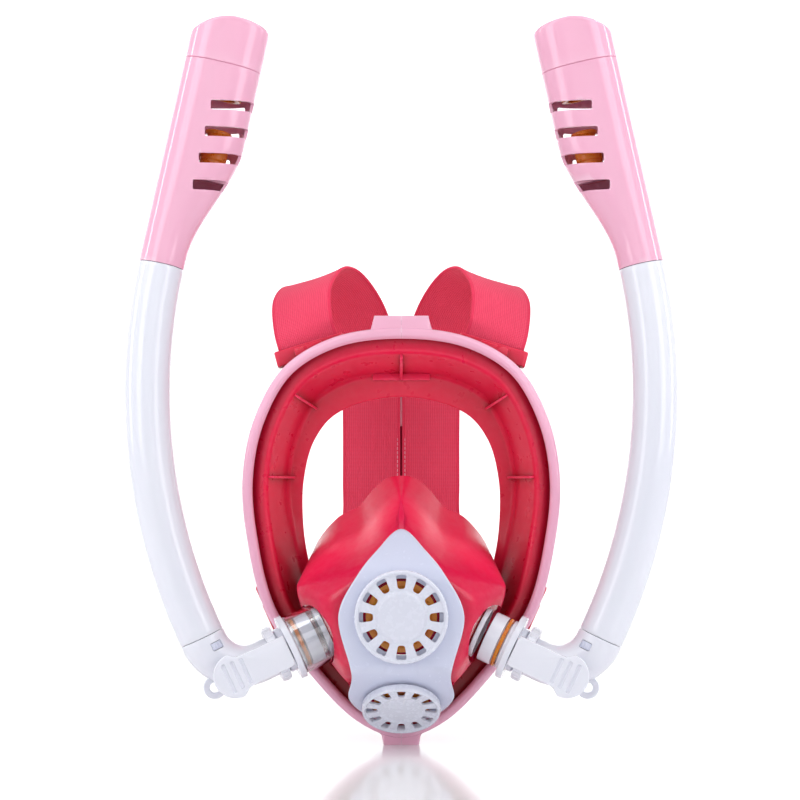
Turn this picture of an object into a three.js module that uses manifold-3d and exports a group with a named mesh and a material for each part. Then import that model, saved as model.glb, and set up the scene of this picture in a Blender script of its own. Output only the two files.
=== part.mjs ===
// Full face snorkel mask with two swivelling snorkels, in millimetres, +Z up.
// The origin is the middle of the face seal, the wearer looks along -Y, and +X is the wearer's left.
import * as THREE from "three";
import { mergeVertices } from "three/addons/utils/BufferGeometryUtils.js";
import Module from "manifold-3d";

const wasm = await Module();
wasm.setup();

// ---------------------------------------------------------------- driving dimensions

const GAP = 0.3; // running gap between two touching pieces
const BEND = 0.0022; // how fast the mask curves back round the face, per mm
const RING_POINTS = 32; // points round the mask's outline

// Half outlines, [across, up], from the top centre to the bottom centre.
const RIM_HALF = [
  [0, 111], [37, 106], [65, 89.5], [82, 60], [88.3, 28],
  [86, -4], [75, -46], [50, -80], [23.5, -105.5], [0, -114],
];
const OPENING_HALF = [
  [0, 73], [36, 64], [49, 48.8], [55, 27], [55.6, 5], [53, -16], [45, -42], [29, -66], [0, -82],
];
const PANEL_HALF = [
  [0, 2], [13.4, -9.5], [23.5, -22], [33.5, -43], [26.5, -76], [28.2, -90], [16.5, -101.4], [0, -103.6],
];
const BULGE_HALF = [
  [0, 15], [11, 3], [24, -11], [42, -18], [64, -28], [61, -48], [47, -73], [30.8, -91], [17, -102.6], [0, -105.2],
];
const CUP_HALF = [
  [0, 29], [9, 27], [16, 20.8], [24, 11.6], [36, 5], [50, -15], [47, -38], [34, -61], [17, -76], [0, -80],
];

// Frame: an L section that clamps the lens flange and the skirt bead.
const FRAME_FRONT = -45.6;
const FRAME_BACK = -28;
const FRAME_FACE = 6; // width of the front lip
const FRAME_WALL = 1.9;
const TAB_TOP = { half: 15.8, low: 107, high: 117.7 };
const TAB_BOTTOM = { half: 10.3, low: -118, high: -110 };
const TAB_FRONT = -43;
const TAB_BACK = -31;
const SCREW = { head: 2.9, headLength: 2.4, shank: 1.5, half: 9 };

// Lens
const LENS_FLANGE_FRONT = -40.7;
const LENS_FLANGE_BACK = -37.7;
const LENS_FLANGE_EDGE = 2.3; // inset of the flange from the frame's outline
const LENS_WALL = 2.2;
const VISOR_Y = -61;
const LENS_EDGE = { side: 17, top: 10, bottom: 8.4 }; // inset of the front window
const CHIN_RECESS = 17; // how far the window goes back towards the chin
const CHIN_START = -20; // height below which it goes back

// Bulge over the nose and mouth, and the valves on it
const MAIN_VALVE = { y: -86, z: -43.9, radius: 25, tilt: 0 };
const DRAIN_VALVE = { y: -64, z: -91.4, radius: 21.3, tilt: THREE.MathUtils.degToRad(50) };
const NOSE_SLOPE = 0.7; // the bulge's upper facet, back per mm up
const NOSE_START = -22;
const BULGE_CENTRE = -45;
const PANEL_LIFT = 0.4; // from the lens to the panel's back
const PANEL_WALL = 2.4;
const SLOTS = 12;
const VALVE_INSET = { cup: 4.4, panel: 4.6, lens: 5, seat: 5.4, diaphragm: 6.4 }; // from a cover's edge

// Port axis, for the wearer's left side
const PORT = new THREE.Vector3(59.3, -60, -62.3);
const PORT_DROP = THREE.MathUtils.degToRad(25);
const PORT_TIP = THREE.MathUtils.degToRad(8);
const SOCKET = { outer: 16.5, inner: 14.5, from: -20, to: -1.5 };
const SPIGOT = 13.9;
const STUB = 11;
const BORE = 9.2;
const CORNER = 42; // where the port axis meets the tube axis
const ELBOW_RADIUS = 23;
const ELBOW_WIDE = 12.5; // outer radius of the elbow where the tube goes in
const TUBE_START = 25.6;
const FOOT = { low: 13.8, inner: 6.8, outer: 9, groove: 7.3, socket: 9.55 }; // the tube's foot in the elbow
const TUBE_OUTER = 12.4;
const TUBE_BORE = 10.6;
const TUBE_BEND = 315;
const TUBE_TURN = THREE.MathUtils.degToRad(37.5);
const LEVER = { near: 3.2, far: 46, half: 8.6, low: 16, high: 18.6, pin: 22, pinHigh: 13 };

// Snorkel head
const HEAD_HIGH = 114;
const HEAD_WIDE = 42.4;
const HEAD_DEEP = 15.4;
const HEAD_WALL = 1.8;
const FLOAT = { x: 14.6, radius: 7.4, low: 54, high: 79 };
const SLOT_LOW = 45.4;
const SLOT_PITCH = 14.85;
const SLOT_HIGH = 5.4;
const SLOT_START = 6.6;
const SLOT_APART = 1.5; // from the head's middle to the slots before and behind it
const SLOT_DEPTH = 18.5;
const WORLD_LEAN = THREE.MathUtils.degToRad(12.5);

// Straps
const STRAP_WIDE = 34;
const STRAP_THICK = 1.6;

// ---------------------------------------------------------------- solids

// A geometry with points nearer than a tolerance joined, and the triangles that this flattens left out.
function welded(source, tolerance) {
  const bare = source.clone();
  bare.deleteAttribute("normal");
  bare.deleteAttribute("uv");
  const merged = mergeVertices(bare, tolerance);
  const index = merged.index.array;
  const kept = [];
  for (let i = 0; i < index.length; i += 3) {
    const [a, b, c] = [index[i], index[i + 1], index[i + 2]];
    if (a !== b && b !== c && c !== a) kept.push(a, b, c);
  }
  merged.setIndex(kept);
  return merged;
}

// A closed geometry as a manifold-3d solid that faces out.
function solid(source) {
  const merged = welded(source, 1e-4);
  const kept = Array.from(merged.index.array);
  const vertProperties = merged.attributes.position.array;
  const made = new wasm.Manifold(
    new wasm.Mesh({ numProp: 3, vertProperties, triVerts: new Uint32Array(kept) }),
  );
  if (made.volume() > 0) return made;
  for (let i = 0; i < kept.length; i += 3) [kept[i + 1], kept[i + 2]] = [kept[i + 2], kept[i + 1]];
  return new wasm.Manifold(
    new wasm.Mesh({ numProp: 3, vertProperties, triVerts: new Uint32Array(kept) }),
  );
}

// A solid as a geometry with flat faces.
function geometry(made) {
  const mesh = made.getMesh();
  const shape = new THREE.BufferGeometry();
  shape.setAttribute("position", new THREE.BufferAttribute(new Float32Array(mesh.vertProperties), 3));
  shape.setIndex(new THREE.BufferAttribute(new Uint32Array(mesh.triVerts), 1));
  const flat = welded(shape, 2e-3).toNonIndexed();
  flat.computeVertexNormals();
  return flat;
}

// Two triangles that fill a quad, split along its shorter diagonal.
function quad(points, a, b, c, d) {
  const straight = points[a].distanceTo(points[c]) <= points[b].distanceTo(points[d]);
  return straight ? [a, b, c, a, c, d] : [a, b, d, b, c, d];
}

// A skin through rings of points; its ends are closed by fans, or its last ring meets its first.
function loft(rings, loop = false) {
  const count = rings[0].length;
  const points = rings.flat();
  const index = [];
  const bands = loop ? rings.length : rings.length - 1;
  for (let r = 0; r < bands; r++) {
    const low = r * count;
    const high = ((r + 1) % rings.length) * count;
    for (let i = 0; i < count; i++) {
      const next = (i + 1) % count;
      index.push(...quad(points, low + i, low + next, high + next, high + i));
    }
  }
  if (!loop) {
    for (const [ring, turn] of [[0, false], [rings.length - 1, true]]) {
      const middle = new THREE.Vector3();
      rings[ring].forEach((p) => middle.add(p));
      points.push(middle.divideScalar(count));
      for (let i = 0; i < count; i++) {
        const pair = [ring * count + i, ring * count + ((i + 1) % count)];
        if (!turn) pair.reverse();
        index.push(points.length - 1, ...pair);
      }
    }
  }
  const shape = new THREE.BufferGeometry().setFromPoints(points);
  shape.setIndex(index);
  return solid(shape);
}

// A profile of [radius, height] turned about Z. It starts and ends on the axis, or closes on itself.
function turned(profile, sides = 12) {
  const points = profile.map(([r, h]) => new THREE.Vector2(r, h));
  return solid(new THREE.LatheGeometry(points, sides).rotateX(Math.PI / 2));
}

// A ring between two radii and two heights.
function collar(inner, outer, low, high, sides = 12) {
  return turned([[inner, low], [outer, low], [outer, high], [inner, high], [inner, low]], sides);
}

// A round bar about Z.
function bar(radius, low, high, sides = 12) {
  return turned([[0, low], [radius, low], [radius, high], [0, high]], sides);
}

// The largest of a solid's separate bodies.
function largest(made) {
  return made.decompose().sort((a, b) => b.volume() - a.volume())[0];
}

// A box between two corners.
function block(low, high) {
  const size = high.map((value, i) => value - low[i]);
  const middle = high.map((value, i) => (value + low[i]) / 2);
  return solid(new THREE.BoxGeometry(...size).translate(...middle));
}

// A solid moved by a matrix.
function placed(made, matrix) {
  return solid(geometry(made).applyMatrix4(matrix));
}

// The matrix of a frame with these axes and this origin.
function frame(x, y, z, origin) {
  return new THREE.Matrix4().makeBasis(x, y, z).setPosition(origin);
}

// ---------------------------------------------------------------- outlines and surfaces

// A closed outline through a half outline and its mirror image, top centre first, then +X.
function outline(half) {
  const right = half.map(([x, z]) => new THREE.Vector3(x, 0, z));
  const left = half.slice(1, -1).reverse().map(([x, z]) => new THREE.Vector3(-x, 0, z));
  const curve = new THREE.CatmullRomCurve3([...right, ...left], true, "centripetal");
  curve.arcLengthDivisions = 1000;
  const points = curve.getSpacedPoints(RING_POINTS).slice(0, RING_POINTS);
  return points.map((p) => new THREE.Vector2(p.x, p.z));
}

// An outline moved inwards by an amount, which may depend on the way the edge faces.
function inset(points, amount) {
  const count = points.length;
  return points.map((p, i) => {
    const along = points[(i + 1) % count].clone().sub(points[(i + count - 1) % count]).normalize();
    const inward = new THREE.Vector2(along.y, -along.x);
    const distance = typeof amount === "function" ? amount(-inward.y) : amount;
    return p.clone().addScaledVector(inward, distance);
  });
}

// An outline shrunk about a point on the centre line.
function shrunk(points, scale, centre) {
  return points.map((p) => new THREE.Vector2(p.x * scale, centre + (p.y - centre) * scale));
}

// An outline as a ring in space, at a depth or on a surface, curved back round the face.
function ring(points, depth) {
  return points.map((p) => {
    const y = typeof depth === "function" ? depth(p.x, p.y) : depth;
    return new THREE.Vector3(p.x, y + BEND * p.x * p.x, p.y);
  });
}

const smooth = (t) => THREE.MathUtils.smoothstep(t, 0, 1);
const clamp = (t) => THREE.MathUtils.clamp(t, 0, 1);

// The distance from a centre to an outline, by direction.
function reach(points, centre) {
  const rays = points
    .map((p) => [Math.atan2(p.x, p.y - centre), Math.hypot(p.x, p.y - centre)])
    .sort((a, b) => a[0] - b[0]);
  return (x, z) => {
    const angle = Math.atan2(x, z - centre);
    let after = rays.findIndex((ray) => ray[0] > angle);
    if (after < 0) after = 0;
    const before = (after + rays.length - 1) % rays.length;
    const wrap = (value) => (value + 4 * Math.PI) % (2 * Math.PI);
    const whole = wrap(rays[after][0] - rays[before][0]);
    const part = wrap(angle - rays[before][0]) / whole;
    return THREE.MathUtils.lerp(rays[before][1], rays[after][1], part);
  };
}

const RIM = outline(RIM_HALF);
const PANEL = outline(PANEL_HALF);
const BULGE = outline(BULGE_HALF);
const panelReach = reach(PANEL, BULGE_CENTRE);
const bulgeReach = reach(BULGE, BULGE_CENTRE);

// Depth of the bulge's front: an upper nose facet, the flat valve face and the lower chin facet.
function facetDepth(z) {
  const nose = MAIN_VALVE.y + NOSE_SLOPE * (z - NOSE_START);
  const chin = DRAIN_VALVE.y - Math.tan(DRAIN_VALVE.tilt) * (z - DRAIN_VALVE.z);
  return Math.max(MAIN_VALVE.y, nose, chin);
}

// Depth of the lens's outer surface inside its front edge, before the bend.
function lensDepth(x, z) {
  const visor = VISOR_Y + CHIN_RECESS * smooth((CHIN_START - z) / (CHIN_START - BULGE_HALF.at(-1)[1]));
  const inner = panelReach(x, z);
  const outer = bulgeReach(x, z);
  const away = Math.hypot(x, z - BULGE_CENTRE);
  const rise = Math.sin((clamp((outer - away) / (outer - inner)) * Math.PI) / 2);
  const front = facetDepth(z) - BEND * x * x;
  return visor + Math.min(0, front - visor) * rise;
}

// Depth of the lens's inner surface: the outer one moved back by the wall.
function lensInsideDepth(x, z) {
  const step = 0.5;
  const across = (lensDepth(x + step, z) - lensDepth(x - step, z)) / (2 * step);
  const up = (lensDepth(x, z + step) - lensDepth(x, z - step)) / (2 * step);
  return lensDepth(x, z) + LENS_WALL * Math.min(Math.hypot(1, across, up), 1.9);
}

// ---------------------------------------------------------------- frames of the turned groups

// Port frame: Z runs out along the port, X along the foot of the tube and Y towards the front.
const portOut = new THREE.Vector3(
  Math.cos(PORT_DROP) * Math.cos(PORT_TIP),
  -Math.sin(PORT_TIP),
  -Math.sin(PORT_DROP) * Math.cos(PORT_TIP),
);
const portUp = new THREE.Vector3(Math.sin(PORT_DROP), 0, Math.cos(PORT_DROP));
const portFrame = frame(portUp, portOut.clone().cross(portUp), portOut, PORT);
const mirror = new THREE.Matrix4().makeScale(-1, 1, 1);

// Tube frame, inside the port frame: Z runs up the foot of the tube, X back towards the mask.
const tubeFrame = frame(
  new THREE.Vector3(0, 0, -1),
  new THREE.Vector3(0, 1, 0),
  new THREE.Vector3(1, 0, 0),
  new THREE.Vector3(0, 0, CORNER),
);

// Head frame, inside the tube frame: Z runs up the head, X inwards to the mask's middle.
const headFrame = new THREE.Matrix4()
  .makeRotationY(TUBE_TURN)
  .setPosition(
    TUBE_BEND * (1 - Math.cos(TUBE_TURN)),
    0,
    TUBE_START + TUBE_BEND * Math.sin(TUBE_TURN),
  );

// A valve's frame: Z is its outward normal.
function valveFrame(valve) {
  const out = new THREE.Vector3(0, -Math.cos(valve.tilt), -Math.sin(valve.tilt));
  const across = new THREE.Vector3(1, 0, 0);
  return frame(across, out.clone().cross(across), out, new THREE.Vector3(0, valve.y, valve.z));
}

// ---------------------------------------------------------------- mask body

function edgeInset(up) {
  const [far, share] = up > 0 ? [LENS_EDGE.top, up * up] : [LENS_EDGE.bottom, clamp(1.7 * up * up)];
  return THREE.MathUtils.lerp(LENS_EDGE.side, far, share);
}

// A ring part of the way from one outline to another.
function between(from, to, part) {
  return from.map((p, i) => p.clone().lerp(to[i], part));
}

// The rings of the lens's skin: out of the flange, over the window's edge, down to the foot of the
// bulge, up to the panel's outline and in to the middle of the valve face.
function lensRings(wall, depth) {
  const edge = inset(RIM, (up) => edgeInset(up) + wall);
  const foot = inset(BULGE, wall);
  const top = inset(PANEL, wall);
  const window = [0.06, 0.35, 0.68, 1].map((part) => ring(between(edge, foot, part), depth));
  const rise = [0.35, 0.7, 1].map((part) => ring(between(foot, top, part), depth));
  const face = [0.55, 0.1].map((scale) => ring(shrunk(top, scale, BULGE_CENTRE), depth));
  return [
    ring(inset(RIM, FRAME_FACE + 1.4 + wall), LENS_FLANGE_FRONT + wall),
    ring(edge, (x, z) => lensDepth(x, z) + 2 + wall),
    ...window, ...rise, ...face,
  ];
}

const lensCavity = loft([
  ring(inset(RIM, FRAME_FACE + 1.4 + LENS_WALL), LENS_FLANGE_BACK + 6),
  ...lensRings(LENS_WALL, lensInsideDepth),
]);

function lens() {
  const rings = [
    ring(inset(RIM, LENS_EDGE.side), LENS_FLANGE_BACK),
    ring(inset(RIM, LENS_FLANGE_EDGE), LENS_FLANGE_BACK),
    ring(inset(RIM, LENS_FLANGE_EDGE), LENS_FLANGE_FRONT),
  ];
  let made = loft([...rings, ...lensRings(0, lensDepth)]).subtract(lensCavity);
  for (const side of [portFrame, mirror.clone().multiply(portFrame)]) {
    const socket = placed(bar(SOCKET.outer, SOCKET.from, SOCKET.to, 18), side);
    const bore = placed(bar(SOCKET.inner, SOCKET.from - 2, SOCKET.to + 2, 18), side);
    made = made.add(socket).subtract(bore);
  }
  for (const valve of [MAIN_VALVE, DRAIN_VALVE]) {
    made = made.subtract(placed(bar(valve.radius - VALVE_INSET.lens, -8, 6, 16), valveFrame(valve)));
  }
  return largest(made);
}

function frameRing() {
  const section = [
    [0, FRAME_BACK], [0, FRAME_FRONT + 3.6], [1.6, FRAME_FRONT], [FRAME_FACE - 1.6, FRAME_FRONT],
    [FRAME_FACE, FRAME_FRONT + 2], [FRAME_FACE, LENS_FLANGE_FRONT - GAP],
    [FRAME_WALL, LENS_FLANGE_FRONT - GAP], [FRAME_WALL, FRAME_BACK],
  ];
  let made = loft(section.map(([amount, y]) => ring(inset(RIM, amount), y)), true);
  const inside = loft([
    ring(inset(RIM, FRAME_WALL), FRAME_BACK + 3),
    ring(inset(RIM, FRAME_WALL), LENS_FLANGE_FRONT - GAP),
  ]);
  for (const tab of [TAB_TOP, TAB_BOTTOM]) {
    const lug = block([-tab.half, TAB_FRONT, tab.low], [tab.half, TAB_BACK, tab.high]);
    made = made.add(lug.subtract(inside));
  }
  return made;
}

// A screw across the two halves of the frame, in the middle of a tab.
function screwMatrix(tab) {
  const high = (tab === TAB_TOP ? tab.high - 3.6 : tab.low + 3.2);
  return frame(
    new THREE.Vector3(0, 1, 0),
    new THREE.Vector3(0, 0, 1),
    new THREE.Vector3(1, 0, 0),
    new THREE.Vector3(0, (TAB_FRONT + TAB_BACK) / 2, high),
  );
}

function screwShape(grow) {
  const { head, headLength, shank, half } = SCREW;
  return turned([
    [0, -half - grow], [shank + grow, -half - grow], [shank + grow, half - headLength - grow],
    [head * 0.8 + grow, half - headLength - grow], [head * 0.8 + grow, half], [0, half],
  ], 12);
}

function frameHalf(side) {
  let made = frameRing();
  for (const tab of [TAB_TOP, TAB_BOTTOM]) {
    const hole = screwShape(GAP).add(bar(SCREW.head * 0.8 + GAP, SCREW.half - 1, 30, 12));
    made = made.subtract(placed(hole, screwMatrix(tab)));
  }
  const far = 200;
  const edge = GAP / 2;
  const keep = side > 0 ? [edge, far] : [-far, -edge];
  return made.intersect(block([keep[0], -far, -far], [keep[1], far, far]));
}

function faceSkirt() {
  const opening = outline(OPENING_HALF);
  const front = LENS_FLANGE_BACK + GAP + 0.1;
  const rings = [
    ring(inset(RIM, LENS_FLANGE_EDGE), front),
    ring(inset(RIM, 12.5), front),
    ring(inset(RIM, 14), front + 2),
    ring(inset(RIM, 24), -10),
    ring(inset(RIM, 26), -8),
    ring(opening, -5),
    ring(opening, -3),
    ring(inset(RIM, 24), 0),
    ring(inset(RIM, 20), -3),
    ring(inset(RIM, 11), -32),
    ring(inset(RIM, LENS_FLANGE_EDGE), -33),
  ];
  return loft(rings, true);
}

// The cup's skin: forward from its edge on the face, then close behind the bulge.
function cupRings(wall) {
  const edge = inset(outline(CUP_HALF), wall);
  const foot = inset(BULGE, 7 + wall);
  const top = inset(PANEL, 8 + wall);
  const depth = (x, z) => lensInsideDepth(x, z) + 6 + wall;
  const rise = [0.5, 1].map((part) => ring(between(foot, top, part), depth));
  return [
    ring(edge, -10),
    ring(between(edge, foot, 0.45), -32),
    ring(foot, (x, z) => depth(x, z) + 2),
    ...rise,
    ring(shrunk(top, 0.4, BULGE_CENTRE), depth),
  ];
}

function noseCup() {
  const inner = cupRings(2);
  inner[0].forEach((p) => p.setY(p.y + 2));
  let made = loft(cupRings(0)).subtract(loft(inner));
  for (const side of [portFrame, mirror.clone().multiply(portFrame)]) {
    made = made.subtract(placed(bar(SOCKET.outer + 0.8, SOCKET.from - 14, 0), side));
  }
  for (const valve of [MAIN_VALVE, DRAIN_VALVE]) {
    made = made.subtract(placed(bar(valve.radius - VALVE_INSET.cup, -40, 6), valveFrame(valve)));
  }
  return largest(made);
}

// The panel's skin lies in front of the lens's face: its back from the middle out, then its front.
function frontPanel() {
  const face = (lift) => [0.1, 0.55, 1].map((scale) => ring(
    shrunk(PANEL, scale, BULGE_CENTRE), (x, z) => lensDepth(x, z) - lift,
  ));
  let made = loft([...face(PANEL_LIFT), ...face(PANEL_LIFT + PANEL_WALL).reverse()]);
  for (const valve of [MAIN_VALVE, DRAIN_VALVE]) {
    made = made.subtract(placed(bar(valve.radius - VALVE_INSET.panel, -9, 9, 16), valveFrame(valve)));
  }
  return made;
}

// ---------------------------------------------------------------- exhale valves

function spokes(inner, outer, wide, low, high, count) {
  const arm = block([-wide / 2, inner, low], [wide / 2, outer, high]);
  let made = arm;
  for (let i = 1; i < count; i++) {
    const turn = new THREE.Matrix4().makeRotationZ((i * 2 * Math.PI) / count);
    made = made.add(placed(arm, turn));
  }
  return made;
}

function valveSeat(radius) {
  const edge = radius - VALVE_INSET.seat;
  const rim = collar(edge - 2.6, edge, -1.9, 2, 16);
  const hub = bar(3, -1.9, 0.4, 8);
  return rim.add(hub).add(spokes(2, edge - 1.5, 1.6, -1.9, 0.2, 4));
}

function valveDiaphragm(radius) {
  const edge = radius - VALVE_INSET.diaphragm;
  return turned([[0, 2.4], [edge, 2.4], [edge + 0.4, 2.8], [edge, 3.2], [2.5, 3.2], [0, 3.6]], 16);
}

function valveCover(radius) {
  const body = turned([
    [0, 7.2], [0.54 * radius, 7.2], [0.57 * radius, 6.4], [0.9 * radius, 6.4], [0.93 * radius, 7.4],
    [0.97 * radius, 7.4], [radius, 6.4], [radius, 3.2], [radius - 2.4, 3.2], [radius - 2.4, 5],
    [0, 5],
  ], 24);
  const inner = 0.6 * radius;
  const outer = 0.88 * radius;
  const wedge = new THREE.Shape([
    new THREE.Vector2(-0.08 * radius, inner), new THREE.Vector2(0.08 * radius, inner),
    new THREE.Vector2(0.115 * radius, outer - 1.6), new THREE.Vector2(0.06 * radius, outer),
    new THREE.Vector2(-0.06 * radius, outer), new THREE.Vector2(-0.115 * radius, outer - 1.6),
  ]);
  const cutter = solid(new THREE.ExtrudeGeometry(wedge, { depth: 8, bevelEnabled: false }));
  let made = body;
  for (let i = 0; i < SLOTS; i++) {
    const turn = new THREE.Matrix4().makeRotationZ((i * 2 * Math.PI) / SLOTS).setPosition(0, 0, 2);
    made = made.subtract(placed(cutter, turn));
  }
  return made;
}

// ---------------------------------------------------------------- elbow and its fittings

function circle(radius, hole = 0) {
  const shape = new THREE.Shape().absarc(0, 0, radius, 0, 2 * Math.PI);
  if (hole) shape.holes.push(new THREE.Path().absarc(0, 0, hole, 0, 2 * Math.PI, true));
  return shape;
}

// An arc in the XZ plane: it starts along +Z at (x, z) and turns towards +X.
class TurnCurve extends THREE.Curve {
  constructor(x, z, radius, turn) {
    super();
    Object.assign(this, { x, z, radius, turn });
  }

  getPoint(part, target = new THREE.Vector3()) {
    const angle = part * this.turn;
    return target.set(
      this.x + this.radius * (1 - Math.cos(angle)),
      0,
      this.z + this.radius * Math.sin(angle),
    );
  }
}

function swept(shape, curve, steps, segments) {
  const options = { extrudePath: curve, steps, curveSegments: segments, bevelEnabled: false };
  return solid(new THREE.ExtrudeGeometry(shape, options));
}

const latch = {
  high: 18.6, // up the foot of the tube from the corner
  turn: THREE.MathUtils.degToRad(25), // round from the front towards the mask
  wide: 6,
  long: 4,
};

// Latch frame, inside the tube frame: Z points out through the window, Y up the tube.
const latchFrame = frame(
  new THREE.Vector3(-Math.cos(latch.turn), Math.sin(latch.turn), 0),
  new THREE.Vector3(0, 0, 1),
  new THREE.Vector3(Math.sin(latch.turn), Math.cos(latch.turn), 0),
  new THREE.Vector3(0, 0, latch.high),
);

function latchBox(grow, low, high) {
  const [w, l] = [latch.wide / 2 + grow, latch.long / 2 + grow];
  return placed(block([-w, -l, low], [w, l, high]), latchFrame);
}

// Rings along the bend, widening from the stub on the port to the tube's socket.
function bendRings(steps, sides) {
  return Array.from({ length: steps + 1 }, (_, step) => {
    const turn = (step / steps) * (Math.PI / 2);
    const radius = STUB + (ELBOW_WIDE - STUB) * smooth(step / steps);
    const along = ELBOW_RADIUS * Math.sin(turn);
    const middle = new THREE.Vector3(ELBOW_RADIUS * (1 - Math.cos(turn)), 0, CORNER - ELBOW_RADIUS + along);
    const across = new THREE.Vector3(Math.cos(turn), 0, -Math.sin(turn));
    return Array.from({ length: sides }, (_point, i) => {
      const angle = (i * 2 * Math.PI) / sides;
      const deep = new THREE.Vector3(0, radius * Math.sin(angle), 0);
      return across.clone().multiplyScalar(radius * Math.cos(angle)).add(deep).add(middle);
    });
  });
}

function elbow() {
  const stubEnd = CORNER - ELBOW_RADIUS + 0.5;
  const onPort = turned([
    [0, -14], [SPIGOT, -14], [SPIGOT, -6.6], [11.6, -6.6], [11.6, -3.2], [SPIGOT, -3.2], [SPIGOT, -1],
    [18.1, -1], [18.1, 2.5], [12.6, 2.5], [12.6, 5.6], [STUB, 6.4], [STUB, stubEnd], [0, stubEnd],
  ], 14);
  const corner = new TurnCurve(0, CORNER - ELBOW_RADIUS, ELBOW_RADIUS, Math.PI / 2);
  const bend = loft(bendRings(6, 14));
  const foot = placed(bar(ELBOW_WIDE, ELBOW_RADIUS - 0.5, TUBE_START - GAP, 14), tubeFrame);
  const lug = block([-3, 9, 18.5], [3, 15.2, 25.5]);
  const eyelet = placed(collar(2.7, 6.2, -1.5, 1.5, 10), frame(
    new THREE.Vector3(1, 0, 0), new THREE.Vector3(0, 0, -1), new THREE.Vector3(0, 1, 0),
    new THREE.Vector3(-2, 0, 47.1),
  ));
  const bores = bar(BORE, -16, stubEnd, 10)
    .add(swept(circle(BORE), corner, 6, 5))
    .add(placed(bar(FOOT.socket, FOOT.low - 0.8, TUBE_START + 2, 14), tubeFrame))
    .add(placed(latchBox(GAP, 8, 16), tubeFrame))
    .add(pinBar(1.5, 10));
  return onPort.add(bend).add(foot).add(lug).add(eyelet).subtract(bores);
}

// The lever pin's frame, inside the port frame: Z runs along the pin.
const pinFrame = frame(
  new THREE.Vector3(0, 0, -1),
  new THREE.Vector3(0, 1, 0),
  new THREE.Vector3(1, 0, 0),
  new THREE.Vector3(0, LEVER.pinHigh, LEVER.pin),
);

function pinBar(radius, half) {
  return placed(bar(radius, -half, half, 12), pinFrame);
}

function ringSeal(major, minor, height) {
  return solid(new THREE.TorusGeometry(major, minor, 4, 16).translate(0, 0, height));
}

function lockLever() {
  const { near, far, half, low, high } = LEVER;
  const paddle = 12;
  const neck = far - paddle * 1.6;
  const shape = new THREE.Shape();
  shape.moveTo(-half, near);
  shape.lineTo(half, near);
  shape.lineTo(half, neck);
  shape.quadraticCurveTo(half, neck + 4, paddle, neck + 8);
  shape.absarc(0, far - paddle + 1, paddle, 0, Math.PI, false);
  shape.quadraticCurveTo(-half, neck + 4, -half, neck);
  const options = { depth: high - low, curveSegments: 6, bevelEnabled: false };
  // The outline is drawn across and along, and its thickness points to the front.
  const plate = placed(solid(new THREE.ExtrudeGeometry(shape, options)), frame(
    new THREE.Vector3(-1, 0, 0), new THREE.Vector3(0, 0, 1), new THREE.Vector3(0, 1, 0),
    new THREE.Vector3(0, low, 0),
  ));
  let made = plate.add(block([-half, 13.2, near], [half, low + 1, near + 2.2]));
  for (const side of [-1, 1]) {
    const cheek = [side * 5.9, side * 8.3].sort((a, b) => a - b);
    made = made.add(block([cheek[0], 11.4, 18.5], [cheek[1], low + 1, 25.5]));
  }
  for (let i = 0; i < 3; i++) {
    const along = far - 7 - i * 5;
    made = made.subtract(block([-6.5, high - 0.9, along - 0.9], [6.5, high + 1, along + 0.9]));
  }
  return made.subtract(pinBar(1.5, 10));
}

function leverSpring() {
  return placed(collar(1.5, 2.1, 3.4, 5.5, 10), pinFrame);
}

// ---------------------------------------------------------------- tube and snorkel head

function tube() {
  const curve = new TurnCurve(0, TUBE_START, TUBE_BEND, TUBE_TURN);
  const wall = swept(circle(TUBE_OUTER, TUBE_BORE), curve, 9, 7);
  const { low, inner, outer, groove } = FOOT;
  const foot = turned([
    [inner, low], [outer, low], [outer, low + 0.8], [groove, low + 0.8], [groove, low + 2.4],
    [outer, low + 2.4], [outer, TUBE_START + 0.6], [11.5, TUBE_START + 0.6], [11.5, 28.4], [inner, 27],
    [inner, low],
  ], 12);
  const top = placed(turned([
    [8.6, -1.5], [11.5, -3], [11.5, -0.6], [10.2, -0.6], [10.2, 8], [8.6, 8], [8.6, -1.5],
  ], 10), headFrame);
  return wall.add(foot).add(top).subtract(latchBox(GAP + 0.3, 7.9, 12));
}

function headWidth(s) {
  return 2 * TUBE_OUTER + (HEAD_WIDE - 2 * TUBE_OUTER) * smooth((s - 6) / 68);
}

// A ring of the head's section, at a height that may change across the head.
function headRing(s, wall, height = () => s, scale = 1) {
  const rise = smooth((s - 6) / 68);
  const half = headWidth(s) / 2 - wall;
  const deep = TUBE_OUTER + (HEAD_DEEP - TUBE_OUTER) * rise - wall;
  const power = 2 / (2 + 0.5 * rise);
  const sides = 14;
  return Array.from({ length: sides }, (_, i) => {
    const angle = (i * 2 * Math.PI) / sides;
    const [c, d] = [Math.cos(angle), Math.sin(angle)];
    const x = half + wall - TUBE_OUTER + scale * half * Math.sign(c) * Math.abs(c) ** power;
    const y = scale * deep * Math.sign(d) * Math.abs(d) ** power;
    return new THREE.Vector3(x, y, height(x));
  });
}

const HEAD_STATIONS = [18, 38, 58, 76, HEAD_HIGH];

// The space inside the head, a wall's thickness in from its outer face.
function headSpace(wall, low, high) {
  return loft([low, ...HEAD_STATIONS.slice(0, -1), high].map((s) => headRing(s, wall)));
}

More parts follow.
